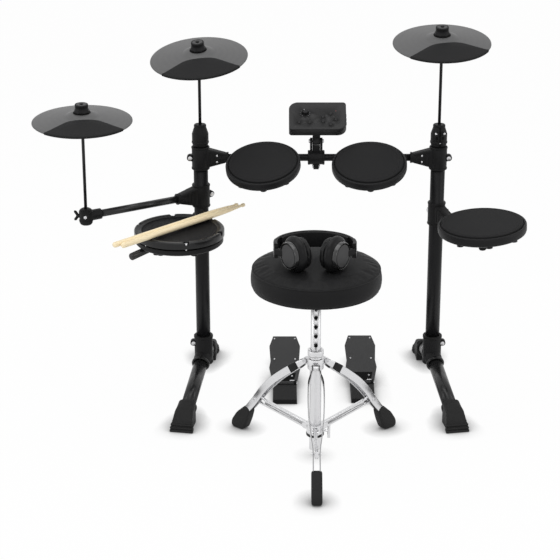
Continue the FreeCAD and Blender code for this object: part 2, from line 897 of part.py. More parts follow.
def make_cymbal(name, place):
    """The cymbal's shell, its striking surface at the front, and its cap."""
    hole = S.rod_diameter / 2 + S.side_gap
    rim = S.cymbal_diameter / 2
    bell = S.bell_diameter / 2
    centre = S.tilter_height + S.seat_gap
    edge = centre - S.bell_height
    low = edge - S.bow_drop
    skin = S.shell_thickness
    shell = turned(name + "_shell", [
        (hole, centre),
        (bell * 0.38, centre),
        (bell * 0.68, centre - S.bell_height * 0.24),
        (bell * 0.9, centre - S.bell_height * 0.74),
        (bell, edge),
        (rim - 1, low),
        (rim, low + 1),
        (rim, low + skin - 1),
        (rim - 1, low + skin),
        (bell + 2, edge + skin),
        (bell * 0.92, centre - S.bell_height * 0.66 + skin),
        (bell * 0.7, centre - S.bell_height * 0.22 + skin),
        (bell * 0.38, centre + skin),
        (hole, centre + skin),
    ], place)
    slope = S.bow_drop / (rim - bell)
    inner = S.strike_inner / 2
    inner_top = edge + skin - (inner - bell) * slope + S.seat_gap * 2
    rim_top = low + skin + S.seat_gap * 2
    lip = rim + S.seat_gap
    out = lip + S.strike_lip
    strike = turned(name + "_strike", [
        (inner, inner_top),
        (inner + 1.5, inner_top + S.strike_thickness),
        (out - 2, rim_top + S.strike_thickness),
        (out, rim_top + S.strike_thickness - 2),
        (out, rim_top - S.strike_lip_depth),
        (lip, rim_top - S.strike_lip_depth),
        (lip, rim_top),
    ], turned_frame(place, Z_AXIS, -82), S.strike_sweep)
    cap_low = centre + skin + S.seat_gap
    stem = S.rod_diameter / 2 + S.seat_gap
    cap = turned(name + "_cap", [
        (stem, cap_low),
        (S.cap_base / 2, cap_low),
        (S.cap_base / 2, cap_low + S.cap_height * 0.14),
        (S.cap_waist / 2, cap_low + S.cap_height * 0.42),
        (S.cap_waist / 2, cap_low + S.cap_height * 0.7),
        (S.cap_top / 2, cap_low + S.cap_height * 0.84),
        (S.cap_top / 2 - 1.5, cap_low + S.cap_height),
        (stem, cap_low + S.cap_height),
    ], place)
    return group(name + "_cymbal", shell, strike, cap)


def make_cymbal_set(name, length, tilt):
    place = turned_frame(cymbal_pivot(name), X_AXIS, tilt)
    return [
        (name + "_rod", make_rod(name, length)),
        (name + "_tilter", make_tilter(name, place)),
        (name + "_cymbal", make_cymbal(name, place)),
    ]


# Snare
def around(frame, diameter, count, first):
    """Frames evenly spaced round a circle in the frame's xy plane."""
    for i in range(count):
        turn = turned_frame(frame, Z_AXIS, first + 360 * i / count)
        yield i, shifted(turn, diameter / 2, 0, 0)


def make_bosses(name, frame, diameter, count, first):
    circle = diameter - S.boss_inset * 2
    return [cylinder(f"{name}_boss_{i}", S.boss_diameter, S.boss_depth + S.pad_floor / 2,
                     shifted(place, 0, 0, -S.boss_depth))
            for i, place in around(frame, circle, count, first)]


def make_snare():
    frame = snare_frame()
    ring = S.snare_shell_diameter / 2
    head = S.snare_head_diameter / 2
    wall = head - 0.5
    dish = turned("snare_dish", [
        (0, 0),
        (ring - 3, 0),
        (ring, 3),
        (ring, S.snare_ring_height - 1),
        (ring - 1, S.snare_ring_height),
        (wall, S.snare_ring_height),
        (wall, S.snare_edge_height),
        (wall - S.snare_edge_width, S.snare_edge_height),
        (wall - S.snare_edge_width, S.pad_floor),
        (0, S.pad_floor),
    ], frame)
    bosses = make_bosses("snare", frame, S.snare_shell_diameter, 6, 0)
    grip_place = shifted(frame, 0, -S.snare_offset, -S.snare_rise)
    grip = block("snare_grip", S.block_length, S.block_width, S.snare_rise + S.block_below + 1,
                 shifted(grip_place, 0, 0, -S.block_below))
    arm_hole = middle_cylinder("snare_grip_hole", S.arm_diameter + S.running_gap * 2, S.block_length * 1.2,
                               grip_place, X_AXIS)
    screw_holes = [cylinder(f"snare_screw_hole_{i}", S.bolt_diameter + S.seat_gap * 2, S.snare_ring_height,
                            shifted(place, 0, 0, S.snare_ring_height * 0.3))
                   for i, place in around(frame, S.lug_circle, 6, S.lug_first)]
    shell = cut("snare_body", fuse("snare_blank", dish, *bosses, grip), arm_hole, *screw_holes)
    sensor = cylinder("snare_sensor", S.sensor_diameter, S.snare_edge_height - S.pad_floor - 1,
                      shifted(frame, 0, 0, S.pad_floor + S.seat_gap))
    return [
        ("snare_shell", group("snare_shell", shell, sensor)),
        ("snare_hoop", make_hoop(frame)),
        ("snare_mesh_head", make_head(frame)),
        ("snare_lugs", make_lugs(frame)),
    ]


def make_hoop(frame):
    outer = S.snare_diameter / 2
    inner = S.snare_head_diameter / 2 + 1
    view = S.snare_view_diameter / 2
    lip = S.snare_edge_height + S.snare_head_thickness + S.seat_gap * 4
    ring = turned("hoop_ring", [
        (inner, S.hoop_low),
        (outer, S.hoop_low),
        (outer, S.hoop_top - 3),
        (outer - 3, S.hoop_top),
        (outer - 9, S.hoop_top),
        (view, S.hoop_top - S.hoop_bevel),
        (view, lip),
        (inner, lip),
    ], frame)
    pockets = []
    for i, place in around(frame, S.lug_circle, 6, S.lug_first):
        pockets.append(cylinder(f"hoop_pocket_{i}", S.lug_pocket, S.hoop_top - S.lug_pocket_floor + 2,
                                shifted(place, S.lug_pocket_shift, 0, S.lug_pocket_floor)))
        pockets.append(cylinder(f"hoop_hole_{i}", S.bolt_diameter + S.side_gap * 2, S.hoop_top,
                                shifted(place, 0, 0, S.hoop_low / 2)))
    return cut("snare_hoop", ring, *pockets)


def make_head(frame):
    return cylinder("snare_mesh_head", S.snare_head_diameter, S.snare_head_thickness,
                    shifted(frame, 0, 0, S.snare_edge_height + S.seat_gap))


def make_lugs(frame):
    screws = []
    low = S.snare_ring_height * 0.4
    seat = S.lug_pocket_floor + S.seat_gap
    for i, place in around(frame, S.lug_circle, 6, S.lug_first):
        shank = cylinder(f"lug_shank_{i}", S.bolt_diameter, seat - low, shifted(place, 0, 0, low))
        head = cylinder(f"lug_head_{i}", S.bolt_head * 0.9, S.bolt_head_height, shifted(place, 0, 0, seat))
        screws.append(fuse(f"lug_{i}", shank, head))
    return group("snare_lugs", *screws)


# Rubber pads
def make_dish(name, diameter, frame):
    rim = diameter / 2
    return turned(name + "_dish", [
        (0, 0),
        (rim - 6, 0),
        (rim - 1.5, 3),
        (rim, 7),
        (rim, S.pad_rim_height - 3),
        (rim - 1, S.pad_rim_height - 0.8),
        (rim - 3, S.pad_rim_height),
        (rim - 6, S.pad_rim_height - 0.5),
        (rim - 6, S.pad_ledge),
        (rim - 13, S.pad_ledge),
        (rim - 13, S.pad_floor),
        (0, S.pad_floor),
    ], frame)


def make_rubber(name, diameter, frame):
    edge = diameter / 2 - 6 - S.side_gap
    low = S.pad_ledge + S.seat_gap
    return turned(name, [
        (0, low),
        (edge, low),
        (edge, low + 3),
        (edge - 2.5, low + 3.5),
        (edge - 2.5, S.pad_height - 3),
        (edge - 4, S.pad_height - 1.4),
        (edge - 8, S.pad_height - 0.9),
        (edge * 0.5, S.pad_height - 0.2),
        (0, S.pad_height),
    ], frame)


def make_pad_shell(name, diameter, frame, grip, grip_hole, first):
    dish = make_dish(name, diameter, frame)
    bosses = make_bosses(name, frame, diameter, 8, first)
    shell = cut(name + "_body", fuse(name + "_blank", dish, *bosses, grip), grip_hole)
    sensor = cylinder(name + "_sensor", S.sensor_diameter, S.pad_ledge - S.pad_floor - S.seat_gap,
                      shifted(frame, 0, 0, S.pad_floor + S.seat_gap))
    return group(name + "_shell", shell, sensor)


def make_tom(side):
    name = side + "_tom"
    frame = tom_frame(side)
    across = S.left_tom_x if side == "left" else S.right_tom_x
    tilted = turned_frame(bar_frame(across), X_AXIS, S.tom_tilt)
    grip = block(name + "_grip", S.block_length, S.block_width, S.tom_rise + S.block_below + 2,
                 shifted(tilted, 0, 0, -S.block_below))
    hole = middle_cylinder(name + "_grip_hole", S.bar_diameter + S.running_gap * 2, S.block_length * 1.2,
                           tilted, X_AXIS)
    return [
        (name + "_shell", make_pad_shell(name, S.tom_diameter, frame, grip, hole, 0)),
        (name + "_rubber", make_rubber(name + "_rubber", S.tom_diameter, frame)),
    ]


def make_floor_tom():
    frame = floor_tom_frame()
    arm = turned_frame(floor_tom_arm(), X_AXIS, S.floor_tom_tilt)
    place = shifted(arm, S.floor_tom_reach, 0, 0)
    grip = block("floor_tom_grip", S.block_length, S.block_width, S.floor_tom_rise + S.block_below + 1,
                 shifted(place, 0, 0, -S.block_below))
    hole = middle_cylinder("floor_tom_grip_hole", S.arm_diameter + S.running_gap * 2, S.block_length * 1.2,
                           place, X_AXIS)
    return [
        ("floor_tom_shell", make_pad_shell("floor_tom", S.floor_tom_diameter, frame, grip, hole, 22.5)),
        ("floor_tom_rubber", make_rubber("floor_tom_rubber", S.floor_tom_diameter, frame)),
    ]


# Sound module
def make_module_clamp():
    """The hub on the crossbar with the fork and pin that the module tilts on."""
    place = bar_frame(S.module_x)
    hub = middle_cylinder("hub", S.hub_diameter, S.hub_length, place, X_AXIS)
    offset = S.knuckle_width / 2 + S.side_gap + S.cheek_thickness / 2
    parts = [hub]
    for mark, sign in (("left", -1), ("right", 1)):
        side = shifted(place, offset * sign, 0, 0)
        parts.append(block(f"fork_{mark}", S.cheek_thickness, S.hinge_diameter, S.hinge_rise, side))
        parts.append(middle_cylinder(f"fork_eye_{mark}", S.hinge_diameter, S.cheek_thickness,
                                     shifted(side, 0, 0, S.hinge_rise), X_AXIS))
    pin_length = S.knuckle_width + S.cheek_thickness * 2 + S.bolt_head_height * 2
    parts.append(middle_cylinder("fork_pin", S.hinge_pin, pin_length, module_hinge(), X_AXIS))
    drop = S.hub_diameter / 2 + S.lug_diameter / 3
    parts.append(block("hub_ear", S.ear_thickness, S.lug_diameter, drop, shifted(place, 0, 0, -drop)))
    parts.append(middle_cylinder("hub_lug", S.lug_diameter, S.ear_thickness,
                                 shifted(place, 0, 0, -drop), X_AXIS))
    bore = middle_cylinder("hub_bore", S.bar_diameter + S.seat_gap * 2, S.hub_length * 1.2, place, X_AXIS)
    return cut("module_bar_clamp", fuse("hub_blank", *parts), bore)


def upright_edge(edge):
    return abs(edge.Vertexes[0].Z - edge.Vertexes[-1].Z) > 1.0


def make_module_case():
    frame = module_frame()
    wide = S.module_width / 2
    deep = S.module_length / 2
    case = plate("case_block", [(-wide, -deep), (wide, -deep), (wide, deep), (-wide, deep)],
                 S.module_thickness, frame)

    def broad(edge):
        middle = edge.BoundBox.Center
        return upright_edge(edge) and middle.x * middle.y < 0

    def tight(edge):
        middle = edge.BoundBox.Center
        short = edge.BoundBox.DiagonalLength < S.module_thickness.value + 1
        return upright_edge(edge) and middle.x * middle.y > 0 and short

    rounded(case, "case_broad_corners", S.module_big_corner, broad)
    rounded(case, "case_tight_corners", S.module_small_corner,
            lambda edge: tight(edge) and abs(edge.BoundBox.Center.x) > wide.value - 1)
    top = S.module_thickness.value
    rounded(case, "case_top_edge", S.module_edge,
            lambda edge: edge.BoundBox.ZMin > top - 0.01)
    cavity = block("case_cavity", S.module_width - S.module_big_corner * 1.25,
                   S.module_length - S.module_wall * 4, S.module_thickness - S.module_wall * 2,
                   shifted(frame, 0, 0, S.module_wall))
    hinge = turned_frame(module_hinge(), X_AXIS, S.module_tilt)
    stalk = block("case_stalk", S.knuckle_width, S.hinge_diameter * 0.7,
                  S.module_rise + S.module_wall / 2, hinge)
    knuckle = middle_cylinder("case_knuckle", S.hinge_diameter, S.knuckle_width, hinge, X_AXIS)
    pin_hole = middle_cylinder("case_pin_hole", S.hinge_pin + S.running_gap * 2, S.knuckle_width * 1.3,
                               hinge, X_AXIS)
    holes = [cavity, pin_hole]
    panel = S.module_thickness - S.module_wall * 1.5
    for name, (x, y) in BUTTONS.items():
        holes.append(cylinder(name + "_hole", S.button_diameter + S.side_gap * 2, S.module_wall * 3,
                              shifted(frame, x, y, panel)))
    holes.append(cylinder("knob_hole", S.knob_stem + S.running_gap * 2, S.module_wall * 3,
                          shifted(frame, KNOB[0], KNOB[1], panel)))
    body = cut("case_shell", fuse("case_blank", case, stalk, knuckle), *holes)
    board = block("case_board", S.module_width - S.module_big_corner * 1.6, S.module_length * 0.6, 1.6,
                  shifted(frame, 0, -S.module_length * 0.06, S.module_wall + 0.05))
    return group("module_case", body, board)


def jack_frame(x):
    """Origin at the bottom of a plug socket's bore, z out of the module's back."""
    low = S.jack_panel_height / -2 - S.seat_gap
    return shifted(module_frame(), x, S.module_length / 2 - S.jack_depth, low, Y_AXIS)


def make_jack_panel():
    """The block of plug sockets under the back edge of the case."""
    middle = (S.module_length - S.jack_panel_depth) / 2
    low = -S.jack_panel_height - S.seat_gap
    body = block("jack_block", S.jack_panel_width, S.jack_panel_depth, S.jack_panel_height,
                 shifted(module_frame(), 0, middle, low))
    bores = [cylinder(f"jack_bore_{i}", S.jack_bore, S.jack_depth * 1.5, jack_frame(x))
             for i, x in enumerate(JACKS)]
    return cut("jack_panel", body, *bores)


def make_button(name, x, y):
    """A button with a flange that keeps it under the panel, free to be pressed."""
    place = shifted(module_frame(), x, y, 0)
    top = S.module_thickness
    under = top - S.module_wall - S.side_gap
    stem = cylinder(name + "_stem", S.button_diameter, S.button_rise + S.module_wall + S.side_gap + 1,
                    shifted(place, 0, 0, under - 1))
    flange = cylinder(name + "_flange", S.button_flange, 1.5, shifted(place, 0, 0, under - 1.5))
    return fuse(name, stem, flange)


def make_knob():
    place = shifted(module_frame(), KNOB[0], KNOB[1], S.module_thickness)
    radius = S.knob_diameter / 2
    stem = S.knob_stem / 2
    return turned("volume_knob", [
        (0, S.module_wall * -2),
        (stem, S.module_wall * -2),
        (stem, S.side_gap),
        (radius, S.side_gap),
        (radius, S.knob_height * 0.2),
        (radius - 1, S.knob_height - 1),
        (radius - 2, S.knob_height),
        (0, S.knob_height - 0.6),
    ], place)


# Foot pedals
def make_pedal_base(side):
    name = side + "_pedal"
    frame = pedal_frame(side)
    sole = block(name + "_sole", S.pedal_plate_width, S.pedal_plate_length, S.pedal_plate,
                 shifted(frame, 0, S.pedal_plate_length / 2, 0))
    heel = tapered_block(name + "_heel", S.heel_length,
                         (S.heel_width * 0.94, 0, S.heel_height * 0.72), (S.heel_width, 0, S.heel_height),
                         turned_frame(frame, Z_AXIS, 90))
    heel = eased(name + "_soft_heel", heel, S.pedal_plate / 2,
                 lambda edge: edge.BoundBox.ZMin > 1)
    ears = []
    hinge = pedal_hinge(side)
    for mark, sign in (("left", -1), ("right", 1)):
        ear = shifted(hinge, (S.heel_width / 2 - 4) * sign, 0, 0)
        ears.append(middle_cylinder(f"{name}_ear_{mark}", S.pedal_barrel, 8, ear, X_AXIS))
        ears.append(block(f"{name}_ear_foot_{mark}", 8, S.pedal_barrel, S.pedal_hinge_z,
                          shifted(ear, 0, 0, -S.pedal_hinge_z)))
    pin = middle_cylinder(name + "_pin", S.pedal_pin, S.heel_width, hinge, X_AXIS)
    base = fuse(name + "_base", sole, heel, *ears, pin)
    bumper = cylinder(name + "_bumper", S.bumper_diameter, S.bumper_height - S.pedal_plate,
                      shifted(hinge, 0, S.bumper_reach, S.pedal_plate - S.pedal_hinge_z))
    return base, bumper


def make_pedal_bases():
    solids = []
    for side in ("left", "right"):
        solids += make_pedal_base(side)
    return group("pedal_bases", *solids)


def make_pedal_board(side):
    name = side + "_pedal_board"
    frame = turned_frame(pedal_hinge(side), X_AXIS, S.pedal_slope)
    rise = S.pedal_barrel / 2 - S.board_thickness
    heel = S.board_heel_width / 2
    wide = S.board_wide / 2
    waist = S.board_waist / 2
    toe = S.board_toe_width / 2
    start = S.board_start
    half = [(heel, start), (wide, S.board_length * 0.31), (waist, S.board_length * 0.45),
            (wide, S.board_length * 0.78), (toe, S.board_length)]
    outline = half + [(-x, y) for x, y in reversed(half)]
    board = plate(name + "_top", outline, S.board_thickness, shifted(frame, 0, 0, rise))
    top = S.board_thickness.value
    rounded(board, name + "_edge", 1.5, lambda edge: edge.BoundBox.ZMin > top - 0.01)
    barrel_length = S.heel_width - 16 - S.side_gap * 2
    barrel = middle_cylinder(name + "_barrel", S.pedal_barrel, barrel_length, frame, X_AXIS)
    parts = [board, barrel]
    skirt_length = S.board_length * 0.55
    for mark, sign in (("left", -1), ("right", 1)):
        parts.append(block(f"{name}_skirt_{mark}", 3, skirt_length, S.skirt_depth,
                           shifted(frame, (waist - 3) * sign, S.board_length * 0.64, rise - S.skirt_depth)))
    hole = middle_cylinder(name + "_hole", S.pedal_pin + S.running_gap * 2, S.heel_width, frame, X_AXIS)
    ear_room = []
    for mark, sign in (("left", -1), ("right", 1)):
        place = shifted(frame, (S.heel_width / 2 - 4 + 0.6) * sign, 0, 0)
        ear_room.append(middle_cylinder(f"{name}_room_{mark}", S.pedal_barrel + S.side_gap * 4,
                                        10 + S.side_gap * 2, place, X_AXIS))
    return cut(name, fuse(name + "_blank", *parts), hole, *ear_room)


# Throne
def make_cushion():
    """A round cushion with a crowned top, a full side and drawn-in edges."""
    radius = S.seat_diameter.value / 2
    side = S.seat_side.value
    crown = S.seat_crown.value
    base = radius - 7
    shoulder = radius - 16
    lower = Vector(base, 0, 0)
    waist = Vector(radius - 1.2, 0, side * 0.2)
    seam = Vector(radius - 2.2, 0, side * 0.72)
    top = Vector(shoulder, 0, side + 3)
    peak = Vector(0, 0, crown)
    swell = crown - top.z
    sphere = (shoulder ** 2 + swell ** 2) / (2 * swell)
    halfway = Vector(shoulder / 2, 0, crown - sphere + math.sqrt(sphere ** 2 - shoulder ** 2 / 4))
    edges = [
        Part.LineSegment(Vector(0, 0, 0), lower).toShape(),
        Part.Arc(lower, Vector(radius - 3, 0, side * 0.07), waist).toShape(),
        Part.Arc(waist, Vector(radius, 0, side * 0.46), seam).toShape(),
        Part.Arc(seam, Vector(radius - 6.5, 0, side * 0.94), top).toShape(),
        Part.Arc(top, halfway, peak).toShape(),
        Part.LineSegment(peak, Vector(0, 0, 0)).toShape(),
    ]
    face = Part.Face(Part.Wire(edges))
    return shaped("seat_cushion", face.revolve(Vector(), Z_AXIS, 360), throne_frame(S.seat_low + S.seat_gap))


def make_seat_plate():
    low = S.seat_low - S.seat_plate_thickness
    place = throne_frame(low)
    bore = S.seat_post_diameter / 2 + S.running_gap
    hub = S.seat_hub / 2
    edge = S.seat_plate_diameter / 2
    return turned("seat_plate", [
        (bore, -S.seat_hub_height),
        (hub, -S.seat_hub_height),
        (hub, -S.seat_hub_height * 0.3),
        (hub * 1.6, 0),
        (edge, 0),
        (edge, S.seat_plate_thickness),
        (0, S.seat_plate_thickness),
        (0, S.seat_plate_thickness * 0.5),
        (bore, S.seat_plate_thickness * 0.5),
    ], place)


def make_seat_post():
    top = S.seat_low - S.seat_plate_thickness * 0.6
    post = tube("seat_post_tube", S.seat_post_diameter, S.seat_post_wall, top - S.seat_post_low,
                throne_frame(S.seat_post_low))
    holes = [middle_cylinder(f"seat_hole_{i}", S.seat_hole, S.seat_post_diameter * 1.4,
                             throne_frame(S.seat_hole_first + S.seat_hole_pitch * i), Y_AXIS)
             for i in range(5)]
    return cut("seat_post", post, *holes)


def make_tripod_tube():
    """The outer tube with the leg collar and lock ring fixed on it."""
    length = S.tripod_tube_top - S.tripod_tube_low
    outer = cylinder("tripod_outside", S.tripod_tube_diameter, length, throne_frame(S.tripod_tube_low))
    ring = cylinder("lock_ring", S.lock_ring_diameter, S.lock_ring_height,
                    throne_frame(S.tripod_tube_top - S.lock_ring_height * 0.8))
    collar = middle_cylinder("leg_collar", S.collar_diameter * 0.92, S.collar_height,
                             throne_frame(S.leg_pivot_height), Z_AXIS)
    parts = [outer, ring, collar]
    holes = []
    width = (S.strap_close - S.strap_thickness / 2 - S.side_gap) * 2
    for which in LEG_BEARINGS:
        pivot = shifted(throne_leg_frame(which), S.leg_pivot_radius, 0, S.leg_pivot_height)
        reach = S.leg_pivot_radius - S.tripod_tube_diameter / 2
        parts.append(block(f"leg_lug_{which}", reach, width, S.lug_diameter,
                           shifted(pivot, reach / -2, 0, S.lug_diameter / -2)))
        parts.append(middle_cylinder(f"leg_eye_{which}", S.lug_diameter, width, pivot, Y_AXIS))
        holes.append(middle_cylinder(f"leg_eye_hole_{which}", S.pivot_pin + S.running_gap * 2, width * 1.3,
                                     pivot, Y_AXIS))
    top = S.tripod_tube_top + S.lock_ring_height
    bore = cylinder("tripod_bore", S.seat_post_diameter + S.running_gap * 2, top - S.tripod_tube_low + 2,
                    throne_frame(S.tripod_tube_low - 1))
    return cut("tripod_tube", fuse("tripod_blank", *parts), bore, *holes)


def make_brace_collar():
    """The lower collar that slides on the tube, with a fork for each brace and a T screw."""
    place = throne_frame(S.brace_pivot_height)
    parts = [middle_cylinder("collar_ring", S.collar_diameter, S.collar_height * 0.85, place, Z_AXIS)]
    offset = S.brace_thickness / 2 + S.side_gap + 2
    for which in LEG_BEARINGS:
        pivot = shifted(throne_leg_frame(which), S.brace_pivot_radius, 0, S.brace_pivot_height)
        reach = S.brace_pivot_radius - S.tripod_tube_diameter / 2 - 2
        for mark, sign in (("a", -1), ("b", 1)):
            cheek = shifted(pivot, 0, offset * sign, 0)
            parts.append(block(f"brace_cheek_{which}_{mark}", reach, 4, S.lug_diameter * 0.9,
                               shifted(cheek, reach / -2, 0, S.lug_diameter * -0.45)))
            parts.append(middle_cylinder(f"brace_eye_{which}_{mark}", S.lug_diameter * 0.9, 4, cheek, Y_AXIS))
        parts.append(middle_cylinder(f"brace_pivot_{which}", S.pivot_pin, offset * 2 + 4, pivot, Y_AXIS))
    screw = turned_frame(place, Z_AXIS, -30)
    parts.append(cylinder("collar_screw", S.bolt_diameter, S.collar_diameter * 0.5,
                          shifted(screw, S.tripod_tube_diameter * 0.6, 0, 0, X_AXIS)))
    screw_end = S.tripod_tube_diameter * 0.6 + S.collar_diameter * 0.5
    parts.append(middle_cylinder("collar_handle", S.bolt_diameter * 1.2, S.collar_diameter * 0.8,
                                 shifted(screw, screw_end, 0, 0), Z_AXIS))
    bore = middle_cylinder("collar_bore", S.tripod_tube_diameter + S.running_gap * 2, S.collar_height * 2,
                           place, Z_AXIS)
    room = []
    pins = []
    for which in LEG_BEARINGS:
        pivot = shifted(throne_leg_frame(which), S.brace_pivot_radius, 0, S.brace_pivot_height)
        room.append(middle_cylinder(f"brace_room_{which}", S.brace_width * 1.15,
                                    S.brace_thickness + S.side_gap * 2, pivot, Y_AXIS))
        pins.append(middle_cylinder(f"brace_pin_{which}", S.pivot_pin, offset * 2 + 4, pivot, Y_AXIS))
    ring = cut("collar_body", fuse("collar_blank", *parts), bore, *room)
    return fuse("brace_collar", ring, *pins)


def leg_stations(steps):
    """The stations of LEG_LINE with smooth curves drawn through them."""
    last = len(LEG_LINE) - 1
    stations = []
    for i in range(last):
        near = [LEG_LINE[max(i - 1, 0)], LEG_LINE[i], LEG_LINE[i + 1], LEG_LINE[min(i + 2, last)]]
        for step in range(steps):
            t = step / steps
            stations.append([curve_at(t, values) for values in zip(*near)])
    return stations + [list(LEG_LINE[last])]


def curve_at(t, values):
    """A point on the smooth curve between the second and third of four values."""
    before, start, end, after = values
    slope_in, slope_out = (end - before) / 2, (after - start) / 2
    bend = 2 * (start - end) + slope_in + slope_out
    swing = 3 * (end - start) - 2 * slope_in - slope_out
    return ((bend * t + swing) * t + slope_in) * t + start


def strap_sections(side):
    """Rectangles along one strap of a leg, in the leg's plane with y across."""
    pivot = vec(S.leg_pivot_radius, 0, S.leg_pivot_height)
    line = vec(S.brace_leg_radius, 0, S.brace_leg_height) - pivot
    square = Vector(-line.z, 0, line.x)
    skin = S.strap_thickness.value / 2
    close = S.strap_close.value
    stations = leg_stations(3)
    points = [pivot + line * share + square * bow for share, bow, spread, width in stations]
    sections = []
    for i, (share, bow, spread, width) in enumerate(stations):
        ahead = points[min(i + 1, len(points) - 1)] - points[max(i - 1, 0)]
        half = Vector(-ahead.z, 0, ahead.x).normalize() * (S.strap_width.value / 2 * width)
        y = side * (close + (S.strap_spread.value - close) * max(spread, 0.0))
        inner, outer = Vector(0, y - skin, 0), Vector(0, y + skin, 0)
        corners = [points[i] + half + inner, points[i] + half + outer,
                   points[i] - half + outer, points[i] - half + inner]
        sections.append(Part.makePolygon(corners + corners[:1]))
    return sections


def make_throne_leg(which):
    name = "throne_leg_" + which
    frame = throne_leg_frame(which)
    straps = [shaped(f"{name}_strap_{mark}", Part.makeLoft(strap_sections(side), True, True), frame)
              for mark, side in (("a", -1), ("b", 1))]
    span = (S.strap_close + S.strap_thickness) * 2
    pivot = middle_cylinder(name + "_pivot", S.pivot_pin, span, shifted(frame, S.leg_pivot_radius, 0,
                            S.leg_pivot_height), Y_AXIS)
    pin = middle_cylinder(name + "_brace_pin", S.brace_pin, span, shifted(frame, S.brace_leg_radius, 0,
                          S.brace_leg_height), Y_AXIS)
    steel = fuse(name + "_steel", *straps, pivot, pin)
    outline = [(S.foot_reach * across, S.foot_height * up) for across, up in FOOT_LINE]
    upright = turned_frame(shifted(frame, 0, S.foot_thickness / 2, 0), X_AXIS, 90)
    paddle = plate(name + "_paddle", outline, S.foot_thickness, upright)
    rubber = cut(name + "_foot", paddle, steel)
    return group(name, steel, rubber)


def make_throne_brace(which):
    name = "throne_brace_" + which
    start = shifted(throne_leg_frame(which), S.brace_pivot_radius, 0, S.brace_pivot_height)
    line_r = S.brace_leg_radius.value - S.brace_pivot_radius.value
    line_z = S.brace_leg_height.value - S.brace_pivot_height.value
    length = math.hypot(line_r, line_z)
    frame = turned_frame(start, Y_AXIS, -math.degrees(math.atan2(line_z, line_r)))
    bar = block(name + "_bar", length + S.brace_overhang, S.brace_thickness, S.brace_width,
                shifted(frame, (length + S.brace_overhang.value) / 2, 0, S.brace_width / -2))
    end = middle_cylinder(name + "_end", S.brace_width, S.brace_thickness, frame, Y_AXIS)
    hole = middle_cylinder(name + "_hole", S.pivot_pin + S.running_gap * 2, S.brace_thickness * 2,
                           frame, Y_AXIS)
    slot = block(name + "_slot", S.brace_slot_length, S.brace_thickness * 2, S.brace_slot,
                 shifted(frame, length - S.brace_slot_length.value / 2, 0, S.brace_slot / -2))
    slot_end = middle_cylinder(name + "_slot_end", S.brace_slot, S.brace_thickness * 2,
                               shifted(frame, length, 0, 0), Y_AXIS)
    slot_start = middle_cylinder(name + "_slot_start", S.brace_slot, S.brace_thickness * 2,
                                 shifted(frame, length - S.brace_slot_length.value, 0, 0), Y_AXIS)
    return cut(name, fuse(name + "_blank", bar, end), hole, slot, slot_end, slot_start)


# Headphones and drumsticks
def cup_frame(sign):
    """Origin at the cup's middle, z outward along its axis."""
    base = shifted(headphones_frame(), S.cup_spacing * (sign / 2), 0, 0)
    turned_out = turned_frame(base, Z_AXIS, -S.cup_turn * sign)
    return shifted(turned_out, 0, 0, 0, X_AXIS * sign)


def make_headphones():
    band_place = shifted(headphones_frame(), 0, S.band_centre, 0)
    band_place = turned_frame(turned_frame(band_place, X_AXIS, S.band_lean), Z_AXIS, 90)
    outer = S.band_radius
    half = S.band_width / 2
    band = turned("headband", [
        (outer - S.band_thickness, -half),
        (outer - 2, -half),
        (outer, 2 - half),
        (outer, half - 2),
        (outer - 2, half),
        (outer - S.band_thickness, half),
    ], band_place, S.band_sweep)
    parts = [band]
    radius = S.cup_diameter / 2
    small = S.cup_inner_diameter / 2
    spread = math.radians(S.band_sweep.value / 2 - 2)
    middle = S.band_radius - S.band_thickness / 2
    for name, sign in (("left", -1), ("right", 1)):
        place = cup_frame(sign)
        parts.append(turned(f"cup_{name}", [
            (0, 0),
            (radius - 3, 0),
            (radius, 3),
            (radius, S.cup_depth * 0.3),
            (radius - 4, S.cup_depth * 0.55),
            (small, S.cup_depth * 0.72),
            (small, S.cup_depth * 0.9),
            (small - 2.5, S.cup_depth),
            (0, S.cup_depth - 1),
        ], place))
        across = middle * math.sin(spread) * sign
        tip = headphones_frame() * vec(across, S.band_centre + middle * math.cos(spread), 0)
        seat = place * vec(0, 0, S.cup_depth * 0.35)
        line = seat - tip
        parts.append(cylinder(f"yoke_{name}", S.yoke_diameter, line.Length,
                              Placement(tip, Rotation(Z_AXIS, line))))
    return fuse("headphones", *parts)


def make_ear_cushions():
    """Two soft rings with rounded faces on the cups' inner sides."""
    outer = S.ear_cushion_diameter.value / 2
    inner = S.ear_cushion_hole.value / 2
    depth = S.ear_cushion_depth.value
    middle = (outer + inner) / 2
    low = -S.seat_gap.value
    start = Vector(inner + 3, 0, low)
    inside = Vector(inner + 1.5, 0, low - depth * 0.6)
    crown = Vector(middle, 0, low - depth)
    outside = Vector(outer - 1.5, 0, low - depth * 0.6)
    finish = Vector(outer - 4, 0, low)
    edges = [
        Part.Arc(start, Vector(inner, 0, low - depth * 0.3), inside).toShape(),
        Part.Arc(inside, Vector(inner + 4.2, 0, low - depth * 0.92), crown).toShape(),
        Part.Arc(crown, Vector(outer - 4.2, 0, low - depth * 0.92), outside).toShape(),
        Part.Arc(outside, Vector(outer, 0, low - depth * 0.3), finish).toShape(),
        Part.LineSegment(finish, start).toShape(),
    ]
    face = Part.Face(Part.Wire(edges))
    rings = [shaped(f"ear_cushion_{name}", face.revolve(Vector(), Z_AXIS, 360), cup_frame(sign))
             for name, sign in (("left", -1), ("right", 1))]
    return group("ear_cushions", *rings)


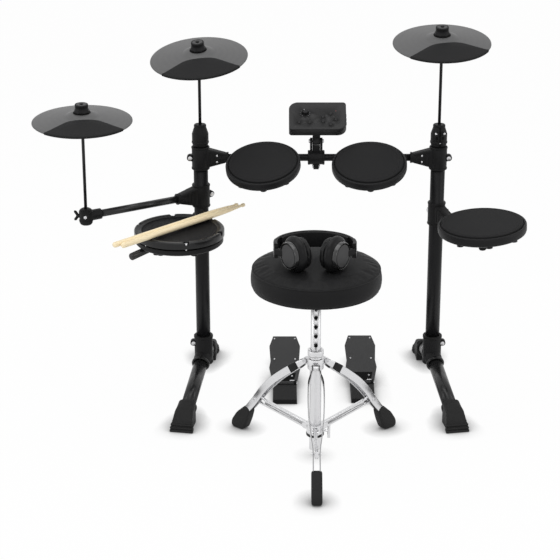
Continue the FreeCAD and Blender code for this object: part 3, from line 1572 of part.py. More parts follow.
def stick_frames():
    """Frames at the two butts, z along each stick, lying just above the snare's hoop."""
    top = shifted(snare_frame(), 0, 0, S.hoop_top + S.stick_diameter / 2 + S.side_gap)
    centre = Placement(top.Base, Rotation())
    start = S.stick_forward - S.stick_length / 2
    for name, sign in (("front", -1), ("back", 1)):
        line = turned_frame(centre, Z_AXIS, S.stick_bearing - S.stick_cross * sign)
        yield name, shifted(line, start - S.stick_stagger * sign, S.stick_gap * (sign / 2), 0, X_AXIS)


def make_drumsticks():
    thick = S.stick_diameter / 2
    neck = S.stick_neck / 2
    tip = S.stick_tip / 2
    bead = S.stick_length - S.stick_tip_length
    outline = [
        (0, 0),
        (thick - 2.5, 0),
        (thick, 2.5),
        (thick, S.stick_length - S.stick_shoulder - S.stick_lead),
        (thick * 0.86, S.stick_length - S.stick_shoulder * 0.75),
        (neck, bead - 4),
        (neck, bead),
        (tip, bead + S.stick_tip_length * 0.3),
        (tip, bead + S.stick_tip_length * 0.65),
        (tip - 2.4, S.stick_length),
        (0, S.stick_length),
    ]
    return group("drumsticks", *[turned("stick_" + name, outline, place) for name, place in stick_frames()])


def make_nodes():
    """Every sub-part, by the name of its file."""
    hihat_length = S.hihat_reach - S.rod_clamp_diameter / 2 + 1
    hihat_clamp, hihat_tube = make_arm("hihat_arm", hihat_arm(), hihat_length, 0)
    snare_clamp, snare_tube = make_arm("snare_arm", snare_arm(), S.snare_arm_length, 3)
    floor_clamp, floor_tube = make_arm("floor_tom_arm", floor_tom_arm(), S.floor_tom_arm_length, 3)
    hihat_rod = S.hihat_height - S.bar_height + S.hihat_clamp_drop + S.hihat_rod_below
    nodes = [
        ("posts", make_posts()),
        ("crossbar", make_crossbar()),
        ("bar_clamps", make_bar_clamps()),
        ("rod_sockets", make_rod_sockets()),
        ("foot_clamps", make_foot_clamps()),
        ("leg_tubes", make_leg_tubes()),
        ("leg_boots", make_leg_boots()),
        ("pedal_bases", make_pedal_bases()),
        ("hihat_arm_clamp", hihat_clamp),
        ("hihat_arm_tube", hihat_tube),
        ("hihat_rod_clamp", make_rod_clamp()),
        ("snare_arm_clamp", snare_clamp),
        ("snare_arm_tube", snare_tube),
        ("floor_tom_arm_clamp", floor_clamp),
        ("floor_tom_arm_tube", floor_tube),
    ]
    nodes += make_cymbal_set("hihat", hihat_rod, S.hihat_tilt)
    rod_foot = socket_low() - S.rod_insert
    nodes += make_cymbal_set("crash", S.crash_height - rod_foot, S.crash_tilt)
    nodes += make_cymbal_set("ride", S.ride_height - rod_foot, S.ride_tilt)
    nodes += make_snare()
    nodes += make_floor_tom()
    nodes += make_tom("left") + make_tom("right")
    nodes += [
        ("module_case", make_module_case()),
        ("jack_panel", make_jack_panel()),
        ("volume_knob", make_knob()),
    ]
    nodes += [(name, make_button(name, x, y)) for name, (x, y) in BUTTONS.items()]
    nodes += [(side + "_pedal_board", make_pedal_board(side)) for side in ("left", "right")]
    nodes += [
        ("seat_cushion", make_cushion()),
        ("seat_plate", make_seat_plate()),
        ("seat_post", make_seat_post()),
        ("tripod_tube", make_tripod_tube()),
        ("brace_collar", make_brace_collar()),
    ]
    nodes += [("throne_leg_" + which, make_throne_leg(which)) for which in LEG_BEARINGS]
    nodes += [("throne_brace_" + which, make_throne_brace(which)) for which in LEG_BEARINGS]
    nodes += [
        ("headphones", make_headphones()),
        ("ear_cushions", make_ear_cushions()),
        ("drumsticks", make_drumsticks()),
    ]
    return nodes


def check_document(nodes):
    """Stops the build if any feature failed or any sub-part has a bad shape."""
    faults = [item.Name for item in doc.Objects if "Invalid" in item.State or "Error" in item.State]
    for name, item in nodes:
        if item.Shape.isNull() or not item.Shape.Solids or not item.Shape.isValid():
            faults.append(name)
    if faults:
        raise RuntimeError("failed: " + ", ".join(faults))


def main():
    nodes = make_nodes()
    doc.recompute()
    for name, item in nodes:
        item.Label = name
    check_document(nodes)
    os.makedirs("parts", exist_ok=True)
    for name, item in nodes:
        item.Shape.exportStep(f"parts/{name}.step")


if __name__ == "__main__":
    main()
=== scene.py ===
import json
import logging
import math
from dataclasses import dataclass, field
from enum import Enum
from typing import Callable, ClassVar, Sequence

import bmesh
import bpy
from mathutils import Matrix, Vector


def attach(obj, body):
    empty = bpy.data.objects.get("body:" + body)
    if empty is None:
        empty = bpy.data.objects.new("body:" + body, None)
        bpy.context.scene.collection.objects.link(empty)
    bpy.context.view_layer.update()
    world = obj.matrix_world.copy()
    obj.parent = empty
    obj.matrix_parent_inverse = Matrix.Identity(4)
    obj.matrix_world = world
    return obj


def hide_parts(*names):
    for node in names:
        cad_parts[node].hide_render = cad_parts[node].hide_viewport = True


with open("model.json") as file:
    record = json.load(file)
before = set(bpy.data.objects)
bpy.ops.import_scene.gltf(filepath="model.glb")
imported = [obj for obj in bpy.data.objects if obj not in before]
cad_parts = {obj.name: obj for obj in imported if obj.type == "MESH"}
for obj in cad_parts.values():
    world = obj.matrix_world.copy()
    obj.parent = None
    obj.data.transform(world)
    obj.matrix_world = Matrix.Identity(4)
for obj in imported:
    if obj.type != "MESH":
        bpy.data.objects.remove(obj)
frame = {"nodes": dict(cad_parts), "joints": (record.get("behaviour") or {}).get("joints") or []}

log = logging.getLogger("drum_kit")

MM = 0.001
WELD = 0.00001
# the largest share of an edge that one rounded corner takes, and how far a sharp corner is drawn in
ROUNDED_SHARE = 0.48
MITRE_LIMIT = 0.4
EYE = Matrix.Identity(4)
UP = Vector((0, 0, 1))
BOTH = (1, -1)
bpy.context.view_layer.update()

Colour = tuple[float, float, float]
Point = tuple[float, float]
Outline = Sequence[Point]
Vary = Callable[[float, float, float], Point]
Thing = bpy.types.Object


class Side(Enum):
    """The player's left or right, as the sign of x."""

    LEFT = -1
    RIGHT = 1

    @property
    def word(self) -> str:
        """The side's name in node names."""
        return self.name.lower()


class Recess(Enum):
    """What a screw's head is driven by."""

    CROSS = "cross"
    HEX = "hex"


def move(x: float = 0, y: float = 0, z: float = 0) -> Matrix:
    """A shift by millimetres."""
    return Matrix.Translation((x * MM, y * MM, z * MM))


def turn(axis: str, degrees: float) -> Matrix:
    """A turn about one of the axes X, Y and Z."""
    return Matrix.Rotation(math.radians(degrees), 4, axis)


def joint_named(name: str) -> dict:
    """The frame's joint of that name."""
    return next(joint for joint in frame["joints"] if joint["name"] == name)


def pivot(name: str) -> Matrix:
    """The place of a joint, with the axes of the whole kit."""
    return Matrix.Translation(joint_named(name)["pos_m"])


def upright(name: str, height: float = 0) -> Matrix:
    """A place straight above or below a joint, at a height in mm over the floor."""
    x, y, _ = joint_named(name)["pos_m"]
    return Matrix.Translation((x, y, height * MM))


def post(side: Side, height: float = 0) -> Matrix:
    """A place on a post's axis, at a height in mm."""
    return upright("hihat_swivel" if side is Side.LEFT else "floor_tom_swivel", height)


def joint_frame(name: str) -> Matrix:
    """The place of a level joint.

    Args:
        name: The joint's name.

    Returns:
        A matrix with x along the joint's axis and z as near upright as that allows.
    """
    joint = joint_named(name)
    along = Vector(joint["axis"]).normalized()
    across = UP.cross(along).normalized()
    place = Matrix((along, across, along.cross(across))).transposed().to_4x4()
    place.translation = Vector(joint["pos_m"])
    return place


def linked(name: str, data: bpy.types.ID) -> Thing:
    """A new object in the scene."""
    thing = bpy.data.objects.new(name, data)
    bpy.context.scene.collection.objects.link(thing)
    return thing


def curve(start: Vector, corner: Vector, end: Vector, steps: int) -> list[Vector]:
    """Points along a curve from start to end that is drawn towards a corner."""
    shares = [k / steps for k in range(steps + 1)]
    return [start * (1 - t) ** 2 + corner * (2 * t * (1 - t)) + end * t ** 2 for t in shares]


def soften(points: Outline, radius: float, steps: int = 4, closed: bool = True) -> list[Point]:
    """Rounds the corners of an outline.

    Args:
        points: The outline's corners.
        radius: How far from a corner the rounding starts, in mm.
        steps: How many points each rounding gets, less one.
        closed: False to keep the two ends of an open outline.

    Returns:
        The outline with a short curve at each corner.
    """
    made: list[Point] = []
    count = len(points)
    for i, point in enumerate(points):
        if not closed and i in (0, count - 1):
            made.append(tuple(point))
            continue
        corner = Vector(point)
        before = Vector(points[i - 1]) - corner
        after = Vector(points[(i + 1) % count]) - corner
        reach = min(radius, before.length * ROUNDED_SHARE, after.length * ROUNDED_SHARE)
        ends = [corner + way.normalized() * reach for way in (before, after)]
        made += [tuple(spot) for spot in curve(ends[0], corner, ends[1], steps)]
    return made


def rectangle(width: float, depth: float, corner: float = 0, steps: int = 4) -> list[Point]:
    """A rectangle about the origin, with rounded corners where a corner size is given."""
    x, y = width / 2, depth / 2
    points = [(x, -y), (x, y), (-x, y), (-x, -y)]
    return soften(points, corner, steps) if corner else points


def arch(width: float, height: float, corner: float) -> list[Point]:
    """A section that stands flat on the floor and is rounded at its two upper corners."""
    half = width / 2
    return soften([(half, 0), (half, height), (-half, height), (-half, 0)], corner, 5, closed=False)


def circle(radius: float, count: int = 48) -> list[Point]:
    """Points round a circle about the origin."""
    angles = [math.tau * i / count for i in range(count)]
    return [(radius * math.cos(a), radius * math.sin(a)) for a in angles]


def evenly(points: Outline, count: int) -> list[Point]:
    """An open outline with its points spread evenly along it.

    Args:
        points: The outline.
        count: How many steps to divide it into.

    Returns:
        The new points, one more than the steps.
    """
    line = [Vector(p) for p in points]
    marks = [0.0]
    for a, b in zip(line, line[1:]):
        marks.append(marks[-1] + (b - a).length)
    made = []
    k = 0
    for i in range(count + 1):
        at = marks[-1] * i / count
        while k < len(line) - 2 and marks[k + 1] < at:
            k += 1
        span = marks[k + 1] - marks[k] or 1.0
        made.append(tuple(line[k].lerp(line[k + 1], min(1.0, (at - marks[k]) / span))))
    return made


def middle(points: Sequence[Vector]) -> Vector:
    """The mean of some points."""
    return sum(points, Vector()) / len(points)


def smooth_line(stations: Sequence[Sequence[float]], steps: int) -> list[list[float]]:
    """A line with smooth curves drawn through its stations.

    Args:
        stations: Rows of numbers.
        steps: How many rows each stretch is given.

    Returns:
        The rows of the curve.
    """
    last = len(stations) - 1
    made = []
    for i in range(last):
        near = (stations[max(i - 1, 0)], stations[i], stations[i + 1], stations[min(i + 2, last)])
        for t in (k / steps for k in range(steps)):
            row = []
            for before, start, end, after in zip(*near):
                bend = 2 * (start - end) + (end - before + after - start) / 2
                swing = 3 * (end - start) - (end - before) - (after - start) / 2
                row.append(((bend * t + swing) * t + (end - before) / 2) * t + start)
            made.append(row)
    return made + [list(stations[last])]


def operator(name: str, reflected: bool = False) -> Callable[..., "Wire"]:
    """An operator of Wire, which adds one Math node.

    Args:
        name: The node's operation.
        reflected: True where the Wire is the second value.

    Returns:
        The operator.
    """
    def work(self: "Wire", other: "Wire | float" = 0.0) -> "Wire":
        """Joins the two values in a node."""
        pair = (other, self) if reflected else (self, other)
        return self.graph.node("ShaderNodeMath", {"operation": name}, dict(enumerate(pair)))

    return work


@dataclass(frozen=True)
class Wire:
    """A value on its way through a material's nodes, which adds Math nodes as it is worked with."""

    graph: "Graph"
    socket: bpy.types.NodeSocket

    __add__, __radd__ = operator("ADD"), operator("ADD", True)
    __sub__, __rsub__ = operator("SUBTRACT"), operator("SUBTRACT", True)
    __mul__, __rmul__ = operator("MULTIPLY"), operator("MULTIPLY", True)
    __pow__ = operator("POWER")
    sine = operator("SINE")
    larger = operator("MAXIMUM")


class Graph:
    """The nodes of a material, or of the world, as they are put together."""

    def __init__(self, owner: bpy.types.Material | bpy.types.World) -> None:
        """Empties the owner's nodes."""
        self.owner = owner
        owner.use_nodes = True
        self.tree = owner.node_tree
        self.tree.nodes.clear()

    def node(self, kind: str, settings: dict | None = None, inputs: dict | None = None,
             output: int | str = 0) -> Wire:
        """Adds a node.

        Args:
            kind: The node's type.
            settings: Its own settings, set first; "stops" holds a ramp's positions and colours.
            inputs: A value or a Wire for each socket, by name or number.
            output: Which output is wanted.

        Returns:
            That output.
        """
        made = self.tree.nodes.new(kind)
        for key, value in (settings or {}).items():
            if key != "stops":
                setattr(made, key, value)
                continue
            ramp = made.color_ramp
            while len(ramp.elements) < len(value):
                ramp.elements.new(0.5)
            for element, (position, colour) in zip(ramp.elements, value):
                element.position = position
                element.color = (*colour, 1.0)
        for key, value in (inputs or {}).items():
            socket = made.inputs[key]
            if isinstance(value, Wire):
                self.tree.links.new(value.socket, socket)
            else:
                socket.default_value = value
        return Wire(self, made.outputs[output])

    def position(self) -> Wire:
        """The place on the piece, in its own axes."""
        return self.node("ShaderNodeTexCoord", output="Object")

    def stretched(self, at: Wire, along: float) -> Wire:
        """The place with its z scaled."""
        return self.node("ShaderNodeVectorMath", {"operation": "MULTIPLY"}, {0: at, 1: (1.0, 1.0, along)})

    def axis(self, at: Wire, name: str) -> Wire:
        """One coordinate of a place."""
        return self.node("ShaderNodeSeparateXYZ", inputs={0: at}, output=name)

    def cloud(self, at: Wire, size: float, detail: float = 2.0) -> Wire:
        """Noise from 0 to 1 whose patches are about size mm across."""
        return self.node("ShaderNodeTexNoise", inputs={"Vector": at, "Scale": 1 / (size * MM), "Detail": detail})

    def pebbles(self, at: Wire, size: float) -> Wire:
        """The distance to the nearest of points about size mm apart, from 0 to about 1."""
        return self.node("ShaderNodeTexVoronoi", inputs={"Vector": at, "Scale": 1 / (size * MM)})

    def mixed(self, share: Wire, first: Colour | Wire, second: Colour) -> Wire:
        """A colour between two."""
        start = first if isinstance(first, Wire) else (*first, 1)
        settings = {"data_type": "RGBA", "clamp_factor": True}
        return self.node("ShaderNodeMix", settings, {0: share, 6: start, 7: (*second, 1)}, output=2)

    def relief(self, height: Wire, depth: float, strength: float = 1.0, **under: Wire) -> Wire:
        """A normal from a height of 0 to 1 that stands for depth mm, over another Normal where one is given."""
        inputs = {"Height": height, "Distance": depth * MM, "Strength": strength, **under}
        return self.node("ShaderNodeBump", inputs=inputs)

    def surface(self, **inputs: "Wire | float") -> None:
        """Ends the material in one principled surface.

        Args:
            inputs: The sockets' values, with underscores for the spaces in their names.
        """
        sockets = {key.replace("_", " "): value for key, value in inputs.items()}
        self.end(self.node("ShaderNodeBsdfPrincipled", inputs=sockets))

    def seen(self) -> Wire:
        """1 for what the camera sees, straight on, mirrored or through something clear, and 0 for light."""
        kinds = ("Camera", "Glossy", "Transmission")
        rays = [self.node("ShaderNodeLightPath", output=f"Is {kind} Ray") for kind in kinds]
        return rays[0].larger(rays[1]).larger(rays[2])

    def blended(self, share: Wire, first: Wire, second: Wire) -> Wire:
        """A mix of two shaders."""
        return self.node("ShaderNodeMixShader", inputs={0: share, 1: first, 2: second})

    def end(self, shader: Wire) -> None:
        """Links a shader to the owner's output."""
        kind = "World" if isinstance(self.owner, bpy.types.World) else "Material"
        output = self.tree.nodes.new("ShaderNodeOutput" + kind)
        self.tree.links.new(shader.socket, output.inputs["Surface"])


class Finish:
    """A named finish, whose material is made once, when it is first asked for."""

    made: ClassVar[dict[str, bpy.types.Material]] = {}
    name: str
    colour: Colour

    def paint(self, graph: Graph) -> None:
        """Puts the finish's nodes together."""
        raise NotImplementedError

    def tones(self, graph: Graph, share: Wire, low: float, high: float) -> Wire:
        """The colour, made darker or lighter by a share between two factors."""
        dark, light = (tuple(c * factor for c in self.colour) for factor in (low, high))
        return graph.mixed(share, dark, light)

    def material(self) -> bpy.types.Material:
        """The finish's material."""
        if self.name not in Finish.made:
            graph = Graph(bpy.data.materials.new(self.name))
            self.paint(graph)
            Finish.made[self.name] = graph.owner
        return Finish.made[self.name]


@dataclass(frozen=True)
class Grained(Finish):
    """Moulded plastic, rubber or paint: an even colour with a fine grain and faint patches.

    Sizes are in mm: grain is how far apart its dimples are, depth how deep, and patch how wide the faint
    patches of colour and gloss are.
    """

    name: str
    colour: Colour
    roughness: float
    specular: float = 0.25
    grain: float = 0.7
    depth: float = 0.03
    patch: float = 45.0
    mottle: float = 0.25
    gloss_spread: float = 0.12
    coat: float = 0.0

    def paint(self, graph: Graph) -> None:
        """Noise patches for colour and gloss, and a fine bump."""
        at = graph.position()
        patches = graph.cloud(at, self.patch, 4.0)
        fine = graph.cloud(at, self.grain, 1.0)
        graph.surface(
            Base_Color=self.tones(graph, patches * 0.7 + fine * 0.3, 1 - self.mottle, 1 + self.mottle),
            Roughness=self.roughness + (patches - 0.5) * self.gloss_spread,
            Specular_IOR_Level=self.specular,
            Coat_Weight=self.coat,
            Coat_Roughness=0.2,
            Normal=graph.relief(fine, self.depth),
        )


@dataclass(frozen=True)
class Ringed(Finish):
    """A cymbal pad's face: satin plastic with fine rings about its middle."""

    name: str
    colour: Colour
    roughness: float
    specular: float = 0.3
    pitch: float = 2.2
    depth: float = 0.035
    slower: float = 7.3

    def paint(self, graph: Graph) -> None:
        """Sine rings in the bump, and slow rings and patches in the colour."""
        at = graph.position()
        x, y = graph.axis(at, "X"), graph.axis(at, "Y")
        radius = (x * x + y * y) ** 0.5
        rings, slow = ((radius * (math.tau / (self.pitch * times * MM))).sine() * 0.5 + 0.5
                       for times in (1, self.slower))
        patches = graph.cloud(at, 60.0, 3.0)
        fine = graph.cloud(at, 0.6, 1.0)
        graph.surface(
            Base_Color=self.tones(graph, patches * 0.6 + slow * 0.25 + fine * 0.15, 0.9, 1.1),
            Roughness=self.roughness + (patches - 0.5) * 0.1,
            Specular_IOR_Level=self.specular,
            Normal=graph.relief(rings * 0.6 + fine * 0.4, self.depth),
        )


@dataclass(frozen=True)
class Woven(Finish):
    """A tight two-ply mesh of black thread, in the plane of the piece's x and y."""

    name: str
    colour: Colour
    gap: Colour
    pitch: float = 1.3

    def paint(self, graph: Graph) -> None:
        """Two crossing sets of threads, over and under in turn."""
        at = graph.position()
        rate = math.pi / (self.pitch * MM)
        warp, weft = ((graph.axis(at, name) * rate).sine() ** 2.0 for name in "XY")
        threads = warp.larger(weft)
        patches = graph.cloud(at, 50.0, 3.0)
        graph.surface(
            Base_Color=graph.mixed(threads * (0.7 + patches * 0.3), self.gap, self.colour),
            Roughness=0.62 - threads * 0.12,
            Specular_IOR_Level=0.1,
            Normal=graph.relief(threads, 0.12),
        )


@dataclass(frozen=True)
class Metal(Finish):
    """Plated or bare metal with faint smears."""

    name: str
    colour: Colour
    roughness: float
    smear: float = 0.1

    def paint(self, graph: Graph) -> None:
        """Patches in the gloss and a trace of waviness."""
        at = graph.position()
        patches = graph.cloud(at, 35.0, 4.0)
        streaks = graph.cloud(graph.stretched(at, 0.08), 2.0, 2.0)
        graph.surface(
            Base_Color=self.tones(graph, patches, 0.92, 1.0),
            Metallic=1.0,
            Roughness=self.roughness + patches * self.smear + (streaks - 0.5) * self.smear * 0.5,
            Normal=graph.relief(patches, 0.05, 0.3),
        )


@dataclass(frozen=True)
class Hide(Finish):
    """Vinyl or thin leather with a pebbled grain and soft creases."""

    name: str
    colour: Colour
    roughness: float
    specular: float = 0.3
    grain: float = 1.5
    depth: float = 0.16
    crease: float = 30.0
    crease_depth: float = 0.5

    def paint(self, graph: Graph) -> None:
        """Pebbles and creases in the bump, with lighter tops of the grain."""
        at = graph.position()
        cells = graph.pebbles(at, self.grain)
        folds = graph.cloud(at, self.crease, 3.0)
        patches = graph.cloud(at, 70.0, 3.0)
        creased = graph.relief(folds, self.crease_depth, 0.5)
        graph.surface(
            Base_Color=self.tones(graph, (1 - cells) * 0.5 + patches * 0.5, 0.75, 1.25),
            Roughness=self.roughness + cells * 0.1 + (patches - 0.5) * 0.12,
            Specular_IOR_Level=self.specular,
            Normal=graph.relief(1 - cells, self.depth, 0.8, Normal=creased),
        )


@dataclass(frozen=True)
class Timber(Finish):
    """Pale turned wood with its grain along the piece's z axis, under a thin lacquer."""

    name: str
    pale: Colour
    mid: Colour
    deep: Colour

    def paint(self, graph: Graph) -> None:
        """Long streaks for growth rings and short dark flecks for pores."""
        at = graph.position()
        growth = graph.cloud(graph.stretched(at, 0.035), 3.6, 3.0)
        streaks = graph.cloud(graph.stretched(at, 0.02), 0.7, 2.0)
        flecks = graph.cloud(graph.stretched(at, 0.1), 0.5, 1.0)
        stops = [(0.25, self.deep), (0.5, self.mid), (0.72, self.pale)]
        colour = graph.node("ShaderNodeValToRGB", {"stops": stops}, {0: growth * 0.6 + streaks * 0.4})
        pores = (flecks - 0.62).larger(0.0) * 2.2
        graph.surface(
            Base_Color=graph.mixed(pores, colour, self.deep),
            Roughness=0.42 + (growth - 0.5) * 0.2,
            Specular_IOR_Level=0.35,
            Coat_Weight=0.15,
            Coat_Roughness=0.3,
            Normal=graph.relief(streaks, 0.04),
        )


TUBE = Grained("satin_black_tube", (0.009, 0.009, 0.0098), 0.36, 0.14, grain=0.9, depth=0.012, patch=90.0)
LEG_TUBE = Grained("leg_tube_paint", (0.016, 0.016, 0.0165), 0.26, 0.32, grain=0.9, depth=0.012, patch=80.0)
CLAMP = Grained("moulded_black", (0.009, 0.009, 0.0094), 0.5, 0.14, grain=0.5, depth=0.03)
COLLAR = Grained("gloss_black", (0.005, 0.005, 0.005), 0.25, 0.25, grain=1.2, depth=0.01)
HOOP = Grained("hoop_black", (0.01, 0.01, 0.0104), 0.3, 0.3, grain=0.6, depth=0.012)
PAD_SHELL = Grained("pad_shell", (0.012, 0.012, 0.0126), 0.48, 0.14, grain=0.5, depth=0.03)
PAD_RUBBER = Grained("pad_rubber", (0.018, 0.018, 0.0185), 0.7, 0.07, grain=0.8, depth=0.05, patch=70.0,
                     mottle=0.18)
# near-black for painted shade in slots, pockets, port holes, the headphone wells, under the cymbal nuts and inside
# the stool's post; the pedals' dark band near the hinge is drawn in it too
SHADE_BLACK = Grained("shadow_groove", (0.004, 0.004, 0.004), 0.8, 0.1)
STRIKE = Grained("strike_rubber", (0.0195, 0.0195, 0.02), 0.66, 0.06, grain=0.8, depth=0.05, patch=60.0,
                 mottle=0.18)
CYMBAL = Ringed("cymbal_grey", (0.09, 0.09, 0.091), 0.46)
MESH = Woven("mesh_head", (0.011, 0.011, 0.012), (0.003, 0.003, 0.0035))
BOOT = Grained("boot_rubber", (0.02, 0.02, 0.02), 0.62, 0.16, grain=0.9, depth=0.06)
CASE = Grained("module_case", (0.021, 0.021, 0.0215), 0.5, 0.22, grain=0.4, depth=0.025)
KEY = Grained("key_rubber", (0.01, 0.01, 0.0105), 0.45, 0.2, grain=0.5, depth=0.02)
MARK = Grained("printed_grey", (0.34, 0.34, 0.35), 0.6, 0.2)
PEDAL = Grained("pedal_plate", (0.03, 0.03, 0.031), 0.46, 0.3, grain=0.6, depth=0.04, patch=80.0, mottle=0.3)
PEDAL_BASE = Grained("pedal_base", (0.011, 0.011, 0.0115), 0.5, 0.1, grain=0.6, depth=0.04, patch=60.0)
PHONES = Grained("headphone_plastic", (0.007, 0.007, 0.0074), 0.36, 0.15, grain=0.5, depth=0.02)
PHONES_DISC = Grained("headphone_disc", (0.042, 0.042, 0.043), 0.42, 0.2, grain=0.4, depth=0.02)
PHONES_RING = Grained("headphone_ring", (0.014, 0.014, 0.0145), 0.24, 0.46, grain=0.6, depth=0.008, coat=0.4)
CHROME = Metal("throne_chrome", (0.73, 0.73, 0.74), 0.18)
SATIN = Metal("throne_satin", (0.76, 0.76, 0.77), 0.36)
# darker metal on the stool's strap edges: painted shade and dark reflection on the chrome
STRAP_EDGE_SHADE = Metal("strap_edge", (0.3, 0.3, 0.305), 0.34)
STEEL = Metal("screw_steel", (0.68, 0.68, 0.69), 0.28)
VINYL = Hide("seat_vinyl", (0.012, 0.012, 0.0125), 0.46, 0.1)
PIPING = Hide("seat_piping", (0.013, 0.013, 0.0135), 0.46, 0.12, grain=1.0, depth=0.08, crease=12.0,
              crease_depth=0.2)
EAR_LEATHER = Hide("ear_leather", (0.008, 0.008, 0.0084), 0.4, 0.18, grain=1.0, depth=0.1, crease=9.0,
                   crease_depth=0.8)
STICK = Timber("stick_wood", (1.0, 0.88, 0.62), (1.0, 0.85, 0.57), (0.96, 0.75, 0.46))
ROD = Grained("rod_black", (0.01, 0.01, 0.0105), 0.3, 0.22, grain=0.8, depth=0.008)
CASE_GREY = Grained("cap_disc_grey", (0.05, 0.05, 0.051), 0.45, 0.2, grain=0.4, depth=0.02)
LAMP = Grained("lamp_lens", (0.35, 0.02, 0.015), 0.25, 0.5, grain=0.5, depth=0.005)


class Shape:
    """Gathers the faces of one piece, in mm, and turns them into an object that rides on a body."""

    def __init__(self) -> None:
        """Starts with no faces."""
        self.mesh = bmesh.new()
        self.finishes: list[Finish] = []

    def rings(self, rows: Sequence[Sequence[Sequence[float]]], finish: Finish, place: Matrix = EYE,
              looped: bool = True, caps: bool = True, joined: bool = False) -> None:
        """Skins rows of points that each have the same count.

        Args:
            rows: The rows, in order.
            finish: The faces' finish.
            place: Where the rows' axes are in the piece.
            looped: True where each row is a closed loop.
            caps: True to close the first and last rows.
            joined: True to join the last row to the first.
        """
        count = len(rows[0])
        loops = []
        for i in range(len(rows) if joined else len(rows) - 1):
            a, b = i * count, ((i + 1) % len(rows)) * count
            for k in range(count if looped else count - 1):
                n = (k + 1) % count
                loops.append((a + k, a + n, b + n, b + k))
        if caps and not joined:
            loops.append(tuple(reversed(range(count))))
            loops.append(tuple(range((len(rows) - 1) * count, len(rows) * count)))
        if finish not in self.finishes:
            self.finishes.append(finish)
        slot = self.finishes.index(finish)
        corners = [self.mesh.verts.new(place @ (Vector(point) * MM)) for row in rows for point in row]
        for loop in loops:
            face = self.mesh.faces.new([corners[i] for i in loop])
            face.material_index = slot
            face.smooth = True

    def lathe(self, profile: Outline, finish: Finish, place: Matrix = EYE, sides: int = 96,
              soft: tuple[float, int] | None = None, vary: Vary | None = None) -> None:
        """Turns an outline round the place's z axis.

        Args:
            profile: Points of radius and height; a closed loop, unless it starts on the axis.
            finish: The faces' finish.
            place: Where the axis is in the piece.
            sides: How many flats the round has.
            soft: How far the outline's corners are rounded, and in how many steps.
            vary: Gives another radius and height for an angle, radius and height.
        """
        closed = profile[0][0] > 0
        if soft:
            profile = soften(profile, *soft, closed=closed)
        rows = []
        for angle in (math.tau * i / sides for i in range(sides)):
            line = [vary(angle, *point) for point in profile] if vary else profile
            rows.append([(r * math.cos(angle), r * math.sin(angle), z) for r, z in line])
        self.rings(rows, finish, place, looped=closed, caps=False, joined=True)

    def prism(self, outline: Outline, low: float, high: float, finish: Finish, place: Matrix = EYE,
              ease: float = 0, steps: int = 3) -> None:
        """Raises an outline from low to high along z.

        Args:
            outline: Corners in x and y, anticlockwise.
            low: The bottom.
            high: The top.
            finish: The faces' finish.
            place: Where the axes are in the piece.
            ease: How far the top and bottom edges are rounded.
            steps: How many steps each rounding has.
        """
        inward = []
        for i, point in enumerate(outline):
            here = Vector(point)
            first = (here - Vector(outline[i - 1])).normalized()
            second = (Vector(outline[(i + 1) % len(outline)]) - here).normalized()
            normal = Vector((-first.y - second.y, first.x + second.x))
            inward.append(normal / max(normal.length_squared / 2, MITRE_LIMIT))
        layers = [(0.0, low), (0.0, high)]
        if ease:
            angles = [math.pi / 2 * k / steps for k in range(steps + 1)]
            layers = [(ease * (1 - math.sin(a)), low + ease * (1 - math.cos(a))) for a in angles]
            layers += [(ease * (1 - math.cos(a)), high - ease * (1 - math.sin(a))) for a in angles]
        rows = [[(x + n.x * inset, y + n.y * inset, z) for (x, y), n in zip(outline, inward)]
                for inset, z in layers]
        self.rings(rows, finish, place)

    def sweep(self, path: Sequence[Vector], section: Outline, across: Vector, finish: Finish, place: Matrix = EYE,
              looped: bool = False) -> None:
        """Carries a section along a path.

        Args:
            path: Points in mm.
            section: Corners; the first number is along the direction across.
            across: The direction that the section's first axis keeps.
            finish: The faces' finish.
            place: Where the axes are in the piece.
            looped: True where the path closes on itself.
        """
        rows = []
        count = len(path)
        for i, point in enumerate(path):
            ahead = path[(i + 1) % count] if looped or i < count - 1 else point
            behind = path[i - 1] if looped or i else point
            along = (ahead - behind).normalized()
            side = (across - along * across.dot(along)).normalized()
            rise = along.cross(side)
            rows.append([point + side * a + rise * b for a, b in section])
        self.rings(rows, finish, place, joined=looped)

    def screw(self, place: Matrix, radius: float, height: float, recess: Recess = Recess.CROSS,
              finish: Finish = STEEL, count: int = 24) -> None:
        """A round screw head along the place's z, with its driving recess.

        Args:
            place: The middle of the head's seat.
            radius: The head's radius.
            height: The head's height.
            recess: What drives it.
            finish: The head's finish.
            count: How many flats its round has.
        """
        def inner(angle: float) -> float:
            """The recess's radius at an angle."""
            if recess is Recess.HEX:
                return radius * 0.5 / math.cos((angle + math.pi / 6) % (math.pi / 3) - math.pi / 6)
            c, s = abs(math.cos(angle)) + 1e-6, abs(math.sin(angle)) + 1e-6
            long, wide = radius * 0.62, radius * 0.17
            return max(min(long / c, wide / s), min(long / s, wide / c))

        angles = [math.tau * (i + 0.5) / count for i in range(count)]
        edge = [(radius, 0.0), (radius, height * 0.5), (radius * 0.9, height * 0.85), (radius * 0.72, height)]
        rows = [[(r * math.cos(a), r * math.sin(a), z) for a in angles] for r, z in edge]
        for z in (height, height * 0.35):
            rows.append([(inner(a) * math.cos(a), inner(a) * math.sin(a), z) for a in angles])
        self.rings(rows, finish, place)

